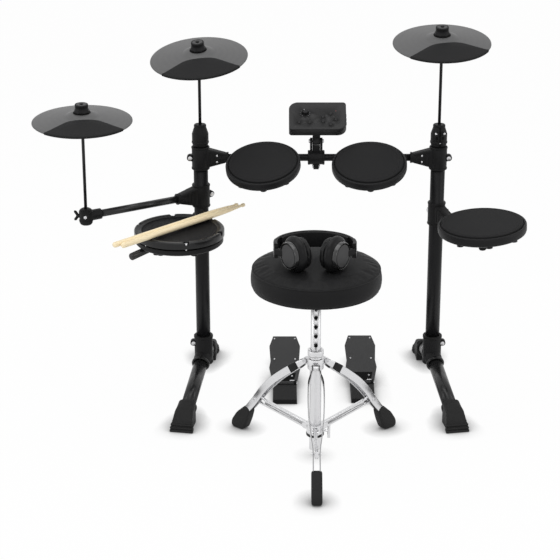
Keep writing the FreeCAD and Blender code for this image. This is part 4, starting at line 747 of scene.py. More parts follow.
    def piece(self, name: str, body: str, place: Matrix = EYE, replaces: Sequence[str] = (),
              slot: str = "black_plastic", crease: float = 30.0) -> Thing:
        """Ends the piece.

        Args:
            name: The object's name.
            body: The body that it rides on.
            replaces: The nodes that it stands for.
            slot: Not used; the record's material slot for its main finish.
            crease: The angle above which an edge stays sharp.

        Returns:
            The new object.
        """
        bmesh.ops.remove_doubles(self.mesh, verts=self.mesh.verts, dist=WELD)
        bmesh.ops.recalc_face_normals(self.mesh, faces=self.mesh.faces)
        data = bpy.data.meshes.new(name)
        self.mesh.to_mesh(data)
        self.mesh.free()
        for finish in self.finishes:
            data.materials.append(finish.material())
        made = linked(name, data)
        made.matrix_world = place
        round_edges(made, crease)
        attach(made, body)
        if replaces:
            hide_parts(*replaces)
        return made


def round_edges(thing: Thing, crease: float = 35.0, bevel: float = 0) -> None:
    """Marks an object's sharp edges, and rounds them with a modifier where a width is given.

    Args:
        thing: The object.
        crease: The angle above which an edge counts as sharp.
        bevel: The rounding's width in mm, or 0 for none.
    """
    if bevel:
        rounding = thing.modifiers.new("rounding", "BEVEL")
        rounding.width = bevel * MM
        rounding.segments = 2
        rounding.limit_method = "ANGLE"
        rounding.angle_limit = math.radians(crease)
        rounding.harden_normals = False
    thing.data.shade_smooth()
    thing.data.set_sharp_from_angle(angle=math.radians(crease))


def islands(data: bpy.types.Mesh) -> list[list[int]]:
    """The faces of each separate solid in a mesh.

    Args:
        data: The mesh.

    Returns:
        A list of face numbers for each solid.
    """
    keys: dict[tuple[int, int, int], int] = {}
    owner = [keys.setdefault(tuple(round(c / WELD) for c in v.co), len(keys)) for v in data.vertices]
    parent = list(range(len(keys)))

    def root(i: int) -> int:
        """The head of a point's group."""
        while parent[i] != i:
            parent[i] = parent[parent[i]]
            i = parent[i]
        return i

    for face in data.polygons:
        first = root(owner[face.vertices[0]])
        for corner in face.vertices[1:]:
            parent[root(owner[corner])] = first
    groups: dict[int, list[int]] = {}
    for face in data.polygons:
        groups.setdefault(root(owner[face.vertices[0]]), []).append(face.index)
    return list(groups.values())


def dress(node: str, finish: Finish, small: Finish | None = None, limit: float = 30.0, bevel: float = 0) -> Thing:
    """Gives a solid of the frame its finish.

    Args:
        node: The node's name.
        finish: Its finish.
        small: Another finish for its small separate solids, such as bolts.
        limit: How long such a solid is at most, in mm.
        bevel: The width of a rounding on its sharp edges, in mm.

    Returns:
        The node's object.
    """
    thing = frame["nodes"][node]
    data = thing.data
    data.materials.clear()
    for used in (finish, small or finish):
        data.materials.append(used.material())
    for group in islands(data):
        corners = [data.vertices[v].co for f in group for v in data.polygons[f].vertices]
        size = max(max(c[k] for c in corners) - min(c[k] for c in corners) for k in range(3))
        for f in group:
            data.polygons[f].material_index = int(bool(small) and size < limit * MM)
    weld = thing.modifiers.new("weld", "WELD")
    weld.merge_threshold = WELD
    round_edges(thing, bevel=bevel)
    return thing


def knob(shape: Shape, place: Matrix, radius: float = 10.0, height: float = 15.0) -> None:
    """Adds a fluted hand knob that stands up along the place's z.

    Args:
        shape: The piece it is part of.
        place: The middle of its foot.
        radius: Its widest radius.
        height: Its height.
    """
    def flutes(angle: float, r: float, z: float) -> Point:
        """Ten finger flutes on the wide part."""
        return (r * (1 - 0.06 * (0.5 + 0.5 * math.cos(10 * angle))) if r > radius * 0.8 else r), z

    section = [(0, 0), (radius * 0.55, 0), (radius * 0.55, height * 0.25), (radius, height * 0.42),
               (radius, height * 0.88), (radius * 0.82, height), (0, height)]
    shape.lathe(section, CLAMP, place, 60, (1.3, 3), flutes)


def grip_fittings(shape: Shape, place: Matrix, rise: float, radius: float, height: float) -> None:
    """Adds the hand knob under a pad's grip, and the screws on its two faces.

    Args:
        shape: The piece they are part of.
        place: The middle of the grip.
        rise: How far above that the screws are.
        radius: The screws' radius.
        height: The height of their heads.
    """
    knob(shape, place @ move(0, 0, -17) @ turn("X", 180))
    for x in (-15, 15):
        for sign in reversed(BOTH):
            shape.screw(place @ move(x, 18 * sign, rise) @ turn("X", -90 * sign), radius, height)


class Assembly:
    def build(self) -> list[Thing]:
        """Makes and dresses the sub-assembly's pieces."""
        raise NotImplementedError


@dataclass
class ClampDetail:
    """The ribs, lips and screws on a clamp of a post; sizes in mm, x along what it holds."""

    name: str
    body: str
    place: Matrix
    bolts: Finish = STEEL
    grip: float = 19.0
    sleeve: float = 23.0
    mouth_wall: float = 9.0
    web_start: float = 10.0
    web_length: float = 56.0
    # half width and half height at the post, and as shares of the mouth at the far end
    web_near: Point = (15.5, 27.5)
    web_far: Point = (0.43, 0.46)
    rib: float = 2.0
    rib_stations: tuple[float, ...] = (25.0, 35.0, 45.0, 56.0)
    screw_at: float = 44.0

    def web(self, x: float) -> Point:
        """The web's half width and half height at a distance from the post."""
        t = (x - self.web_start) / self.web_length
        mouth = self.grip + self.mouth_wall
        return tuple(near + (mouth * far - near) * t for near, far in zip(self.web_near, self.web_far))

    def build(self) -> Thing:
        """One piece with the lips round the sleeve, the ribs on both faces and their screws."""
        shape = Shape()
        near, far = self.sleeve - 0.4, self.sleeve + 1.1
        for sign in BOTH:
            lip = [(near, 25.6 * sign), (far, 26.6 * sign), (far, 29.6 * sign), (near, 30.8 * sign)]
            shape.lathe(lip, CLAMP, sides=64)
        ring = circle(self.grip / 2 + 5.3)
        hole = circle(self.grip / 2 + 0.25)
        mouth = [[(x, *p) for p in loop] for x, loop in ((70.5, ring), (73.4, ring), (74.2, hole), (70.5, hole))]
        shape.rings(mouth, CLAMP, joined=True, caps=False)
        bar = rectangle(self.rib, self.rib, 0.5, 2)
        across = Vector((0, 1, 0))
        for sign in BOTH:
            upper = [Vector((x, sign * (self.web(x)[0] + 0.25), self.web(x)[1] - 6.4)) for x in self.rib_stations]
            lower = [Vector((p.x, p.y, -p.z)) for p in reversed(upper)]
            shape.sweep(upper + lower, bar, across, CLAMP, looped=True)
            x = self.rib_stations[1]
            shape.sweep([Vector((x, sign * (self.web(x)[0] + 0.25), z)) for z in (19.0, -19.0)], bar, across, CLAMP)
            for z in (-8.5, 8.5):
                seat = move(self.screw_at, sign * (self.web(self.screw_at)[0] - 0.2), z) @ turn("X", -90 * sign)
                shape.screw(seat, 2.6, 1.7, finish=self.bolts)
        return shape.piece(self.name, self.body, self.place)


@dataclass
class Rack(Assembly):
    """The posts, bar, clamps, legs and boots; sizes in mm."""

    leg_apex: float = 108.0
    leg_slope: float = 19.0
    front_splay: float = 10.5
    rear_splay: float = 0.4
    boot_inner: float = 204.0
    bar_height: float = 672.0
    socket_low: float = 704.0
    # distance along the boot, width, height and corner
    boot_stations: tuple[tuple[float, ...], ...] = (
        (0, 45.5, 60.5, 14), (1.6, 47, 63, 16), (20, 47.6, 57, 14), (37, 48.4, 51.6, 9), (40, 48.8, 49.4, 7),
        (55, 54.4, 30, 5), (56.6, 55.8, 29.2, 5), (58.6, 56, 25, 5), (60.4, 57.8, 24.2, 5), (62.4, 58, 20, 5),
        (64.4, 59.8, 19.2, 5), (66.6, 60, 15, 4), (68.6, 60.8, 14, 4), (70.4, 60.8, 9, 4), (71, 60, 5, 3))
    # bottom, top, reach and half width of each toe ridge
    boot_ridges: tuple[tuple[float, ...], ...] = ((0, 6, 74.6, 32), (8.6, 13, 72.6, 31.6), (16.4, 20.4, 68.6, 30.6))

    def bearing(self, side: Side, front: bool) -> float:
        """A leg's compass angle from x."""
        return self.front_splay * side.value - 90 if front else self.rear_splay * side.value + 90

    def leg(self, side: Side, front: bool) -> Matrix:
        """A leg's place, with z along it and down to the floor."""
        return post(side, self.leg_apex) @ turn("Z", self.bearing(side, front)) @ turn("Y", 90 + self.leg_slope)

    def boot(self, shape: Shape, side: Side, front: bool) -> None:
        """A rubber boot with its collar, step, sloping face and toe ridges."""
        place = post(side) @ turn("Z", self.bearing(side, front)) @ move(self.boot_inner)
        shape.rings([[(x, *point) for point in arch(*size)] for x, *size in self.boot_stations], BOOT, place)
        for low, high, reach, half in self.boot_ridges:
            ridge = soften([(50, 3 - half), (reach, -half), (reach, half), (50, half - 3)], 4, 3)
            shape.prism(ridge, low, high, BOOT, place, ease=1.3)
        collar = [(19.2, 205), (22.4, 205), (25, 208), (25, 219), (19.2, 219)]
        shape.lathe(collar, BOOT, self.leg(side, front), 48, (1.4, 3))

    def build(self) -> list[Thing]:
        """Dresses the tubes and clamps, and makes the boots, rings, sockets and ribs."""
        made = [dress("posts", TUBE), dress("crossbar", TUBE), dress("leg_tubes", LEG_TUBE),
                dress("bar_clamps", CLAMP, STEEL, bevel=0.7), dress("foot_clamps", CLAMP, STEEL, bevel=0.7),
                dress("rod_sockets", CLAMP)]
        boots, rings = Shape(), Shape()
        ring = [(19.2, 36), (23.4, 36), (24.8, 37.8), (24.8, 42), (23.4, 44.6), (19.2, 44.6)]
        lip = [(24.8, 157.5), (26.2, 158.5), (26.2, 164.5), (24.8, 166)]
        cap = [(24.8, 84.2), (26, 85.2), (26, 92.5), (24.8, 94)]
        for side in Side:
            for front in (True, False):
                self.boot(boots, side, front)
                rings.lathe(ring, COLLAR, self.leg(side, front), 64, (0.9, 3))
            for band in (lip, cap):
                rings.lathe(band, CLAMP, post(side), 64, (0.5, 2))
        made += [boots.piece("boots", "rack", replaces=["leg_boots"], slot="foot_rubber", crease=35),
                 rings.piece("foot_rings", "rack", crease=35), self.sockets()]
        for side, bearing in ((Side.LEFT, 0), (Side.RIGHT, 180)):
            place = post(side, self.bar_height) @ turn("Z", bearing)
            made.append(ClampDetail(f"bar_clamp_ribs_{side.word}", "rack", place).build())
        return made + [self.hub()]

    def sockets(self) -> Thing:
        """The neck rings of the rod sockets, and on the right one the pinch slot and two small pockets, drawn as
        near-black painted shade, with the slot's ears and screws.
        """
        shape = Shape()
        neck = [(14, 52), (16.2, 53), (16.2, 57), (14.6, 59.2), (4.6, 59.4), (4.6, 56), (14, 56)]
        base = [(21.4, 8.2), (22.8, 9.4), (22.8, 13), (21.4, 14.2)]
        for side in Side:
            shape.lathe(neck, CLAMP, post(side, self.socket_low), 72, (0.6, 2), self.knurl)
            shape.lathe(base, CLAMP, post(side, self.socket_low), 64, (0.4, 2))
        place = post(Side.RIGHT, self.socket_low) @ turn("Z", -86)
        # The slot is a near-black strip: painted shade in the slit.
        slot = [(20.5, 2), (20.5, 5), (21.9, 8.9), (21.9, 34.2), (19.9, 40.1), (15, 55)]
        section = ((-1.0, -2.2), (0.3, -1.9), (0.3, 1.9), (-1.0, 2.2))
        shape.rings([[(r + x, y, z) for x, y in section] for r, z in slot], SHADE_BLACK, place)
        ear = soften([(17, 2.6), (24.2, 2.6), (24.2, 7), (22.6, 9.4), (17, 10.4)], 1.2, 3)
        for sign in BOTH:
            for low, high in ((8.5, 16.5), (33.5, 43)):
                shape.prism([(x, y * sign) for x, y in ear][::sign], low, high, CLAMP, place, ease=1.0)
            # Two near-black patches beside the slot: painted shade standing for recesses.
            pocket_shade = place @ turn("Z", 21 * sign) @ move(21.6, 0, 26) @ turn("Y", 90)
            shape.prism(rectangle(8, 6.4, 1.6), -0.5, 0.5, SHADE_BLACK, pocket_shade, ease=0.3)
            shape.screw(place @ move(20.8, 8.6 * sign, 38.4) @ turn("X", -90 * sign), 2.9, 5, Recess.HEX)
        shape.screw(place @ move(22.3, 0, 12.4) @ turn("Y", 90), 1.7, 1, Recess.HEX)
        return shape.piece("socket_fittings", "rack")

    @staticmethod
    def knurl(angle: float, radius: float, height: float) -> Point:
        """Shallow flutes on the widest part of a ring."""
        deep = 0.35 * (0.5 + 0.5 * math.cos(36 * angle)) if radius > 15 else 0.0
        return radius - deep, height

    def hub(self) -> Thing:
        """The bright bolts of the module's clamp on the bar, and the block over them."""
        shape = Shape()
        place = pivot("module_tilt")
        lip = [(18.2, 16.5), (19.4, 17.3), (19.4, 20.6), (18.2, 21.6)]
        for sign in BOTH:
            out = turn("Y", 90 * sign)
            shape.screw(place @ move(16.6 * sign) @ out, 5.4, 3.4, Recess.HEX)
            shape.screw(place @ move(7 * sign, 0, -69.2) @ out, 5, 3.2, Recess.HEX)
            shape.lathe(lip, CLAMP, place @ move(0, 0, -45) @ out, 64, (0.4, 2))
        shape.prism(rectangle(19.6, 15, 2, 3), -29, -10.6, CLAMP, place, ease=0.8)
        return shape.piece("hub_bolts", "rack", slot="bright_steel")


@dataclass
class Arms(Assembly):
    """The three side arms with their clamps; bearings in degrees, reach in mm."""

    bearings: dict[str, float] = field(
        default_factory=lambda: {"hihat": 211.0, "snare": 236.0, "floor_tom": -63.2})
    hihat_reach: float = 337.0

    def build(self) -> list[Thing]:
        """Dresses the tubes and clamps, and adds ribs and the rod clamp's fittings."""
        made = []
        for name, bearing in self.bearings.items():
            place = pivot(name + "_swivel") @ turn("Z", bearing)
            made += [dress(name + "_arm_tube", LEG_TUBE), dress(name + "_arm_clamp", CLAMP, STEEL, bevel=0.7),
                     ClampDetail(name + "_clamp_ribs", name + "_arm", place, CLAMP).build()]
        return made + [dress("hihat_rod_clamp", CLAMP, bevel=0.8), self.rod_clamp()]

    def rod_clamp(self) -> Thing:
        """The rod clamp's rings, lower cap, bolt and wing screw."""
        shape = Shape()
        place = pivot("hihat_swivel") @ turn("Z", self.bearings["hihat"]) @ move(self.hihat_reach)
        cap = [(4.5, -15.2), (16.4, -15.2), (16.4, -18), (13.2, -21.8), (7, -23.2), (4.5, -23.2)]
        shape.lathe(cap, CLAMP, place, 64, (1.2, 3))
        collar = [(4.5, 15.4), (15.2, 15.4), (15.2, 18), (11, 21), (4.5, 21)]
        shape.lathe(collar, CLAMP, place, 64, (1.0, 3))
        for z in (-11, 11):
            band = [(16.6, z - 2.4), (18.1, z - 1.6), (18.1, z + 1.6), (16.6, z + 2.4)]
            shape.lathe(band, CLAMP, place, 64, (0.4, 2))
        shape.screw(place @ turn("Z", 59) @ move(16.6, 0, 2) @ turn("Y", 90), 4.4, 2.6)
        wing = place @ turn("Z", -42) @ move(16.4) @ turn("Y", 90)
        shape.lathe([(0, 0), (5.6, 0), (5.6, 3), (4, 9), (0, 9)], CLAMP, wing, 32, (1.0, 3))
        blade = soften([(0, 4), (4, 3), (13, 9), (13.5, 15), (9, 15.5), (0, 9)], 1.8, 3)
        for sign in BOTH:
            outline = [(x * sign, z) for x, z in blade][::sign]
            shape.prism(outline, -1.4, 1.4, CLAMP, wing @ turn("X", 90), ease=0.5)
        return shape.piece("rod_clamp_fittings", "hihat_arm")


@dataclass
class Cymbal(Assembly):
    """A cymbal pad on its rod; sizes in mm."""

    name: str
    tilt: float
    strike_turn: float
    strike_half: float
    rim: float = 127.0
    chord: float = 40.5
    chord_half: float = 36.0
    strike_thickness: float = 2.6
    strike_steps: int = 84
    # radius and height of the shell's upper face beyond the bell
    face: tuple[Point, ...] = ((42, 16.2), (60, 13.6), (84, 9.5), (106, 5.5), (127.5, 1.9))

    def shell(self, shape: Shape) -> None:
        """The shell, from the middle of the top, round the rim, to the middle below."""
        top = [(4.5, 24.1), (15.5, 24), (28, 22.2), (36.5, 18.8), (42, 16.4), (60, 13.7), (84, 9.6), (106, 5.6),
               (125.2, 2.1), (self.rim, 0.9), (self.rim, -0.7), (125.6, -1.8)]
        under = [(84, 5.3), (40, 12.1), (36, 14.2), (27.2, 18.2), (15.2, 20.1), (4.5, 20.1)]
        shape.lathe(top + under, CYMBAL, sides=160, soft=(5.0, 4))

    def top(self, radius: float) -> float:
        """The height of the shell's upper face beyond the bell."""
        for (r0, z0), (r1, z1) in zip(self.face, self.face[1:]):
            if radius <= r1:
                return z0 + (z1 - z0) * (radius - r0) / (r1 - r0)
        return self.face[-1][1]

    def strike(self, shape: Shape) -> None:
        """The darker playing zone at the front, with its lip over the rim."""
        half = math.radians(self.strike_half)
        ends = [(self.rim * math.sin(a), -self.rim * math.cos(a)) for a in (-half, half)]
        line = [ends[0], (-self.chord_half, -self.chord), (self.chord_half, -self.chord), ends[1]]
        inner = evenly(soften(line, 16, 8, closed=False), self.strike_steps)
        lift, edge = self.strike_thickness, self.top(self.rim)
        lip = ((128.2, edge + lift - 0.5), (128.9, edge + lift - 1.5), (128.9, -1.0), (128.4, -1.6), (127.35, -1.6),
               (127.2, edge + 0.15))
        rows = []
        for i, point in enumerate(inner):
            angle = -half + 2 * half * i / (len(inner) - 1)
            out = Vector((math.sin(angle), -math.cos(angle)))
            start = Vector(point)
            reach = out * (self.rim - 0.6) - start
            spots = [(start, 0.1)]
            for distance, rise in ((0.15, 0.55), (0.7, 0.85), (1.8, 1.0)):
                step = reach.normalized() * min(distance, reach.length * 0.2)
                spots.append((start + step, lift * rise))
            spots += [(start + reach * (0.2 + 0.8 * k / 8), lift) for k in range(1, 9)]
            below = [(start + reach * (k / 4), 0.12) for k in (3, 2, 1)]
            upper, lower = ([(*at, self.top(at.length) + rise) for at, rise in group] for group in (spots, below))
            rows.append(upper + [(*(out * radius), z) for radius, z in lip] + lower)
        shape.rings(rows, STRIKE, turn("Z", self.strike_turn))

    def cap(self, shape: Shape) -> None:
        """The flared nut on the bell, with flats round its foot, a grey disc on top and a ring of painted shade
        under its foot.
        """
        body = [(4.6, 24.25), (21, 24.25), (21, 27.4), (17.6, 32.6), (16.4, 36), (16.6, 40.5), (17.2, 43.2),
                (16.6, 45.6), (15, 46.1), (13.6, 45.2), (4.6, 45)]
        shape.lathe(body, CLAMP, soft=(1.1, 3), vary=self.flats)
        disc = [(4.6, 44.8), (13.2, 44.8), (13.2, 45.7), (12.2, 46), (6.2, 46), (5.2, 45.4), (4.6, 45.2)]
        shape.lathe(disc, CASE_GREY, sides=64, soft=(0.3, 2))
        # A near-black ring under the nut's foot: painted shade where it sits on the shell.
        shape.lathe([(17, 23.2), (22.4, 23.2), (22.4, 24), (17, 24.2)], SHADE_BLACK, sides=64, soft=(0.3, 2))

    @staticmethod
    def flats(angle: float, radius: float, height: float) -> Point:
        """Eight flats that fade out above the foot."""
        step = math.pi / 4
        share = max(0.0, min(1.0, (34.0 - height) / 8.0)) if radius > 12 else 0.0
        flat = math.cos(step / 2) / math.cos((angle + step / 2) % step - step / 2)
        return radius * (1 + (flat - 1) * share), height

    def underside(self, shape: Shape) -> None:
        """The sensor's housing and plug socket below the shell."""
        place = move(0, 70, 6.6) @ turn("X", -9.2)
        shape.lathe([(0, 0.6), (0, -7), (18, -7), (21, -5.4), (22.5, 0.6)], CLAMP, place, 48, (1.4, 3))
        barrel = [(2.4, 0), (3.6, 0), (3.6, 9), (3.2, 9.6), (2.4, 9.6)]
        shape.lathe(barrel, STEEL, place @ move(0, 20, -4.2) @ turn("X", -90), 32, (0.4, 2))
        for x in (-13, 13):
            shape.screw(place @ move(x, 0, -6.9) @ turn("X", 180), 2.4, 1.2)

    def build(self) -> list[Thing]:
        """The pad in its own axes, so its rings lie round its middle."""
        shape = Shape()
        for add in (self.shell, self.strike, self.cap, self.underside):
            add(shape)
        place = joint_frame(self.name + "_tilt") @ turn("X", self.tilt)
        pad = shape.piece(self.name + "_pad", self.name + "_head", place, [self.name + "_cymbal"], "pad_shell", 40)
        return [pad, dress(self.name + "_tilter", CLAMP, bevel=0.4), dress(self.name + "_rod", ROD)]


@dataclass
class Snare(Assembly):
    """The snare pad with its mesh head and tension screws; sizes in mm."""

    offset: float = 62.0
    rise: float = 18.0
    lug_circle: float = 108.5
    lug_seat: float = 28.8
    lug_first: float = 46.0
    lug_count: int = 6
    recess_turn: float = 20.0

    def place(self) -> Matrix:
        """The middle of the shell's underside."""
        return joint_frame("snare_tilt") @ move(0, self.offset, self.rise)

    def build(self) -> list[Thing]:
        """Dresses the shell and hoop, and makes the head, screws and grip fittings."""
        head, lugs, grip = Shape(), Shape(), Shape()
        face = [(0, 31.35), (40, 31.3), (90, 31.5), (96.5, 31.9), (100, 31.9), (102.2, 31), (102.4, 30.2),
                (96, 30.15), (0, 30.15)]
        head.lathe(face, MESH, sides=128)
        for i in range(self.lug_count):
            bearing = self.lug_first + 360 / self.lug_count * i
            seat = turn("Z", bearing) @ move(self.lug_circle, 0, self.lug_seat)
            lugs.screw(seat @ turn("Z", self.recess_turn * i), 4.9, 4.2, Recess.HEX)
            lugs.lathe([(0, -22.6), (2.9, -22.6), (2.9, 0.2), (0, 0.2)], STEEL, seat, 24, (0.2, 2))
        grip_fittings(grip, move(0, -self.offset, -self.rise), -4, 3.6, 2)
        place = self.place()
        return [dress("snare_shell", PAD_SHELL, bevel=0.8), dress("snare_hoop", HOOP, bevel=0.8),
                head.piece("snare_head", "snare_pad", place, ["snare_mesh_head"], "mesh_fabric", 35),
                lugs.piece("snare_screws", "snare_pad", place, ["snare_lugs"], "bright_steel"),
                grip.piece("snare_grip_fittings", "snare_pad", place)]


@dataclass
class RubberPad(Assembly):
    """A rubber pad in its shell; sizes in mm."""

    name: str
    radius: float
    place: Matrix
    grip: Matrix
    screw_turns: Sequence[float]

    def build(self) -> list[Thing]:
        """Dresses the shell, and makes the rubber face, the screws below and the hand knob."""
        face, fittings = Shape(), Shape()
        rim, edge = self.radius, self.radius - 6.4
        section = [(0, 28.5), (edge * 0.5, 28.3), (edge - 8, 27.6), (edge - 4.6, 27.25), (edge - 2.9, 26.3),
                   (edge - 2.5, 24.6), (edge - 2.5, 20.9), (edge, 20.3), (edge, 17.4), (0, 17.35)]
        face.lathe(section, PAD_RUBBER, sides=128, soft=(0.8, 3))
        ring = [(edge - 12.6, 27.85), (edge - 12.2, 28.05), (edge - 11, 28), (edge - 10.6, 27.7),
                (edge - 11.6, 27.4)]
        face.lathe(ring, PAD_RUBBER, sides=128)
        for angle in self.screw_turns:
            seat = turn("Z", angle) @ move(rim - 17, 0, -5.9) @ turn("X", 180)
            fittings.screw(self.place @ seat, 4.2, 1.6)
        lip = [(rim - 5.9, 22.6), (rim - 5, 23.7), (rim - 3.4, 24), (rim - 2.2, 23.4), (rim - 3.4, 22.4)]
        fittings.lathe(lip, PAD_SHELL, self.place, 128, (0.5, 2))
        grip_fittings(fittings, self.grip, 4, 3.4, 1.8)
        body = self.name + "_pad"
        return [dress(self.name + "_shell", PAD_SHELL, bevel=0.8),
                face.piece(self.name + "_face", body, self.place, [self.name + "_rubber"], "pad_rubber", 40),
                fittings.piece(self.name + "_fittings", body)]


def rubber_pads() -> list[RubberPad]:
    """The two toms and the floor tom, where their joints put them."""
    pads = []
    for side, roll in ((Side.LEFT, -5.0), (Side.RIGHT, -2.5)):
        grip = joint_frame(side.word + "_tom_tilt") @ turn("X", 18)
        place = grip @ move(0, -80, 16.5) @ turn("Y", roll)
        pads.append(RubberPad(side.word + "_tom", 97.5, place, grip, range(135, 450, 45)))
    grip = joint_frame("floor_tom_tilt") @ turn("X", 4)
    pads.append(RubberPad("floor_tom", 113.5, grip @ move(0, 0, 17), grip, [22.5 + 45 * i for i in range(8)]))
    return pads


@dataclass
class Module(Assembly):
    """The sound module with its knob, keys and ports; sizes in mm on its panel."""

    tilt: float = 31.0
    thickness: float = 24.0
    width: float = 150.0
    depth: float = 97.0
    knob_at: Point = (-32.5, 9.0)
    ticks: int = 11
    tick_radius: float = 12.2
    tick_spread: float = 280.0
    keys: dict[str, Point] = field(default_factory=lambda: {
        "button_left": (-48.0, -25.0), "button_middle": (-21.0, -25.0), "button_up": (14.0, -5.5),
        "button_down": (14.0, -22.0), "button_far": (34.0, 5.5), "button_right": (48.0, -14.5),
        "button_near": (34.0, -33.0)})

    def place(self) -> Matrix:
        """The middle of the case's underside."""
        return joint_frame("module_tilt") @ turn("X", self.tilt) @ move(3, 35, 36.4)

    def on_top(self, at: Point) -> Matrix:
        """A place on the panel."""
        return self.place() @ move(*at, self.thickness)

    def build(self) -> list[Thing]:
        """Dresses the case, and makes the knob, keys, marks and ports."""
        return [dress("module_case", CASE), dress("jack_panel", CASE, bevel=0.6), self.volume(),
                *(self.key(name) for name in self.keys), self.panel()]

    def volume(self) -> Thing:
        """The ribbed knob and its pointer."""
        def ribs(angle: float, radius: float, height: float) -> Point:
            """Fine grip ribs round the side."""
            return (radius - 0.4 * (0.5 + 0.5 * math.cos(28 * angle)) if radius > 7.5 else radius), height

        shape = Shape()
        section = [(0, 8), (5.2, 8), (5.9, 8.9), (7.2, 8.9), (7.9, 7.8), (8.4, 2), (8.5, 0.5), (0, 0.45)]
        shape.lathe(section, KEY, sides=168, soft=(0.5, 3), vary=ribs)
        shape.prism(rectangle(1.3, 5, 0.5, 2), 7.9, 9.05, MARK, turn("Z", 35) @ move(0, 5), ease=0.2)
        return shape.piece("volume_dial", "knob", self.on_top(self.knob_at), ["volume_knob"])

    def key(self, name: str) -> Thing:
        """One domed key."""
        shape = Shape()
        dome = [(0, 2.15), (2.4, 2), (3.9, 1.5), (4.6, 0.7), (4.8, -0.6), (4.8, -3.4), (5.8, -3.6), (5.8, -4.4),
                (0, -4.5)]
        shape.lathe(dome, KEY, sides=48, soft=(0.5, 3))
        return shape.piece(name + "_cap", name + "_key", self.on_top(self.keys[name]), [name], "button_rubber", 35)

    def panel(self) -> Thing:
        """The panel's marks, rings and lamp, the ports at the side and back, and the feet."""
        shape = Shape()
        top = self.thickness
        for i in range(self.ticks):
            bearing = self.tick_spread / 2 - self.tick_spread / (self.ticks - 1) * i
            tick = move(*self.knob_at, top) @ turn("Z", bearing) @ move(0, self.tick_radius)
            shape.prism(rectangle(0.9, 1.8 if i % 5 else 2.6), -0.2, 0.12, MARK, tick)
        for at in self.keys.values():
            shape.lathe([(5.2, -0.2), (6.6, -0.2), (6.3, 0.45), (5.5, 0.45)], CASE, move(*at, top), 48, (0.2, 2))
        shape.lathe([(0, 0.55), (0.8, 0.4), (1.15, -0.2), (0, -0.3)], LAMP, move(48, 16, top), 20)
        ring = [(2.2, -0.6), (4.4, -0.6), (4.4, 0.5), (3.8, 0.9), (2.6, 0.9), (2.2, 0.3)]
        for y in (-18, -4, 10):
            port = move(self.width / 2, y, 12) @ turn("Y", 90)
            shape.lathe(ring, COLLAR, port, 32, (0.3, 2))
            # A near-black disc in each port: painted shade in the hole.
            shape.lathe([(0, -0.2), (2.4, -0.2), (2.4, -0.5), (0, -0.5)], SHADE_BLACK, port, 24)
        nut = [(3.3, -0.3), (5.7, -0.3), (5.7, 1.2), (5, 1.8), (3.8, 1.8), (3.3, 1.2)]
        for x in (-42, -14, 14, 42):
            shape.lathe(nut, STEEL, move(x, self.depth / 2, -6.8) @ turn("X", -90), 36, (0.3, 2))
        foot = [(0, 0.2), (0, -1.8), (5, -1.8), (6, -0.8), (6, 0.2)]
        for x in (-58, 58):
            for y in (-34, 26):
                shape.lathe(foot, BOOT, move(x, y), 32, (0.5, 2))
        return shape.piece("module_panel", "module", self.place(), slot="module_plastic")


@dataclass
class Pedal(Assembly):
    """A foot pedal's fittings; sizes in mm along its board."""

    side: Side
    slope: float = 16.0
    top: float = 6.5
    heel_width: float = 66.0

    def build(self) -> list[Thing]:
        """Dresses the board, and makes its screws, band and hinge pins."""
        name = self.side.word + "_pedal"
        hinge = pivot(name + "_press")
        board, pins = Shape(), Shape()
        for y in (97, 188):
            for x in (-29, 29):
                board.screw(move(x, y, self.top - 0.1), 2.4, 1.2)
        # A near-black band near the hinge, drawn in the finish made for painted shade.
        band = soften([(-25, 3), (25, 3), (31, 36), (-31, 36)], 2, 3)
        board.prism(band, self.top - 0.4, self.top + 0.6, SHADE_BLACK, ease=0.4)
        for x in (-20, 20):
            bracket = [(a + x, b + 3) for a, b in rectangle(13, 3, 0.8, 3)]
            board.prism(bracket, self.top - 0.4, self.top + 1.2, STEEL, ease=0.3)
            board.screw(move(x, 22, self.top + 0.4), 2.4, 1.2)
        for sign in BOTH:
            pins.screw(move((self.heel_width / 2 - 0.3) * sign) @ turn("Y", 90 * sign), 4.2, 1.8, Recess.HEX)
        return [dress(name + "_board", PEDAL, bevel=0.8),
                board.piece(name + "_fittings", name, hinge @ turn("X", self.slope), slot="bright_steel"),
                pins.piece(name + "_pins", "rack", hinge, slot="bright_steel")]


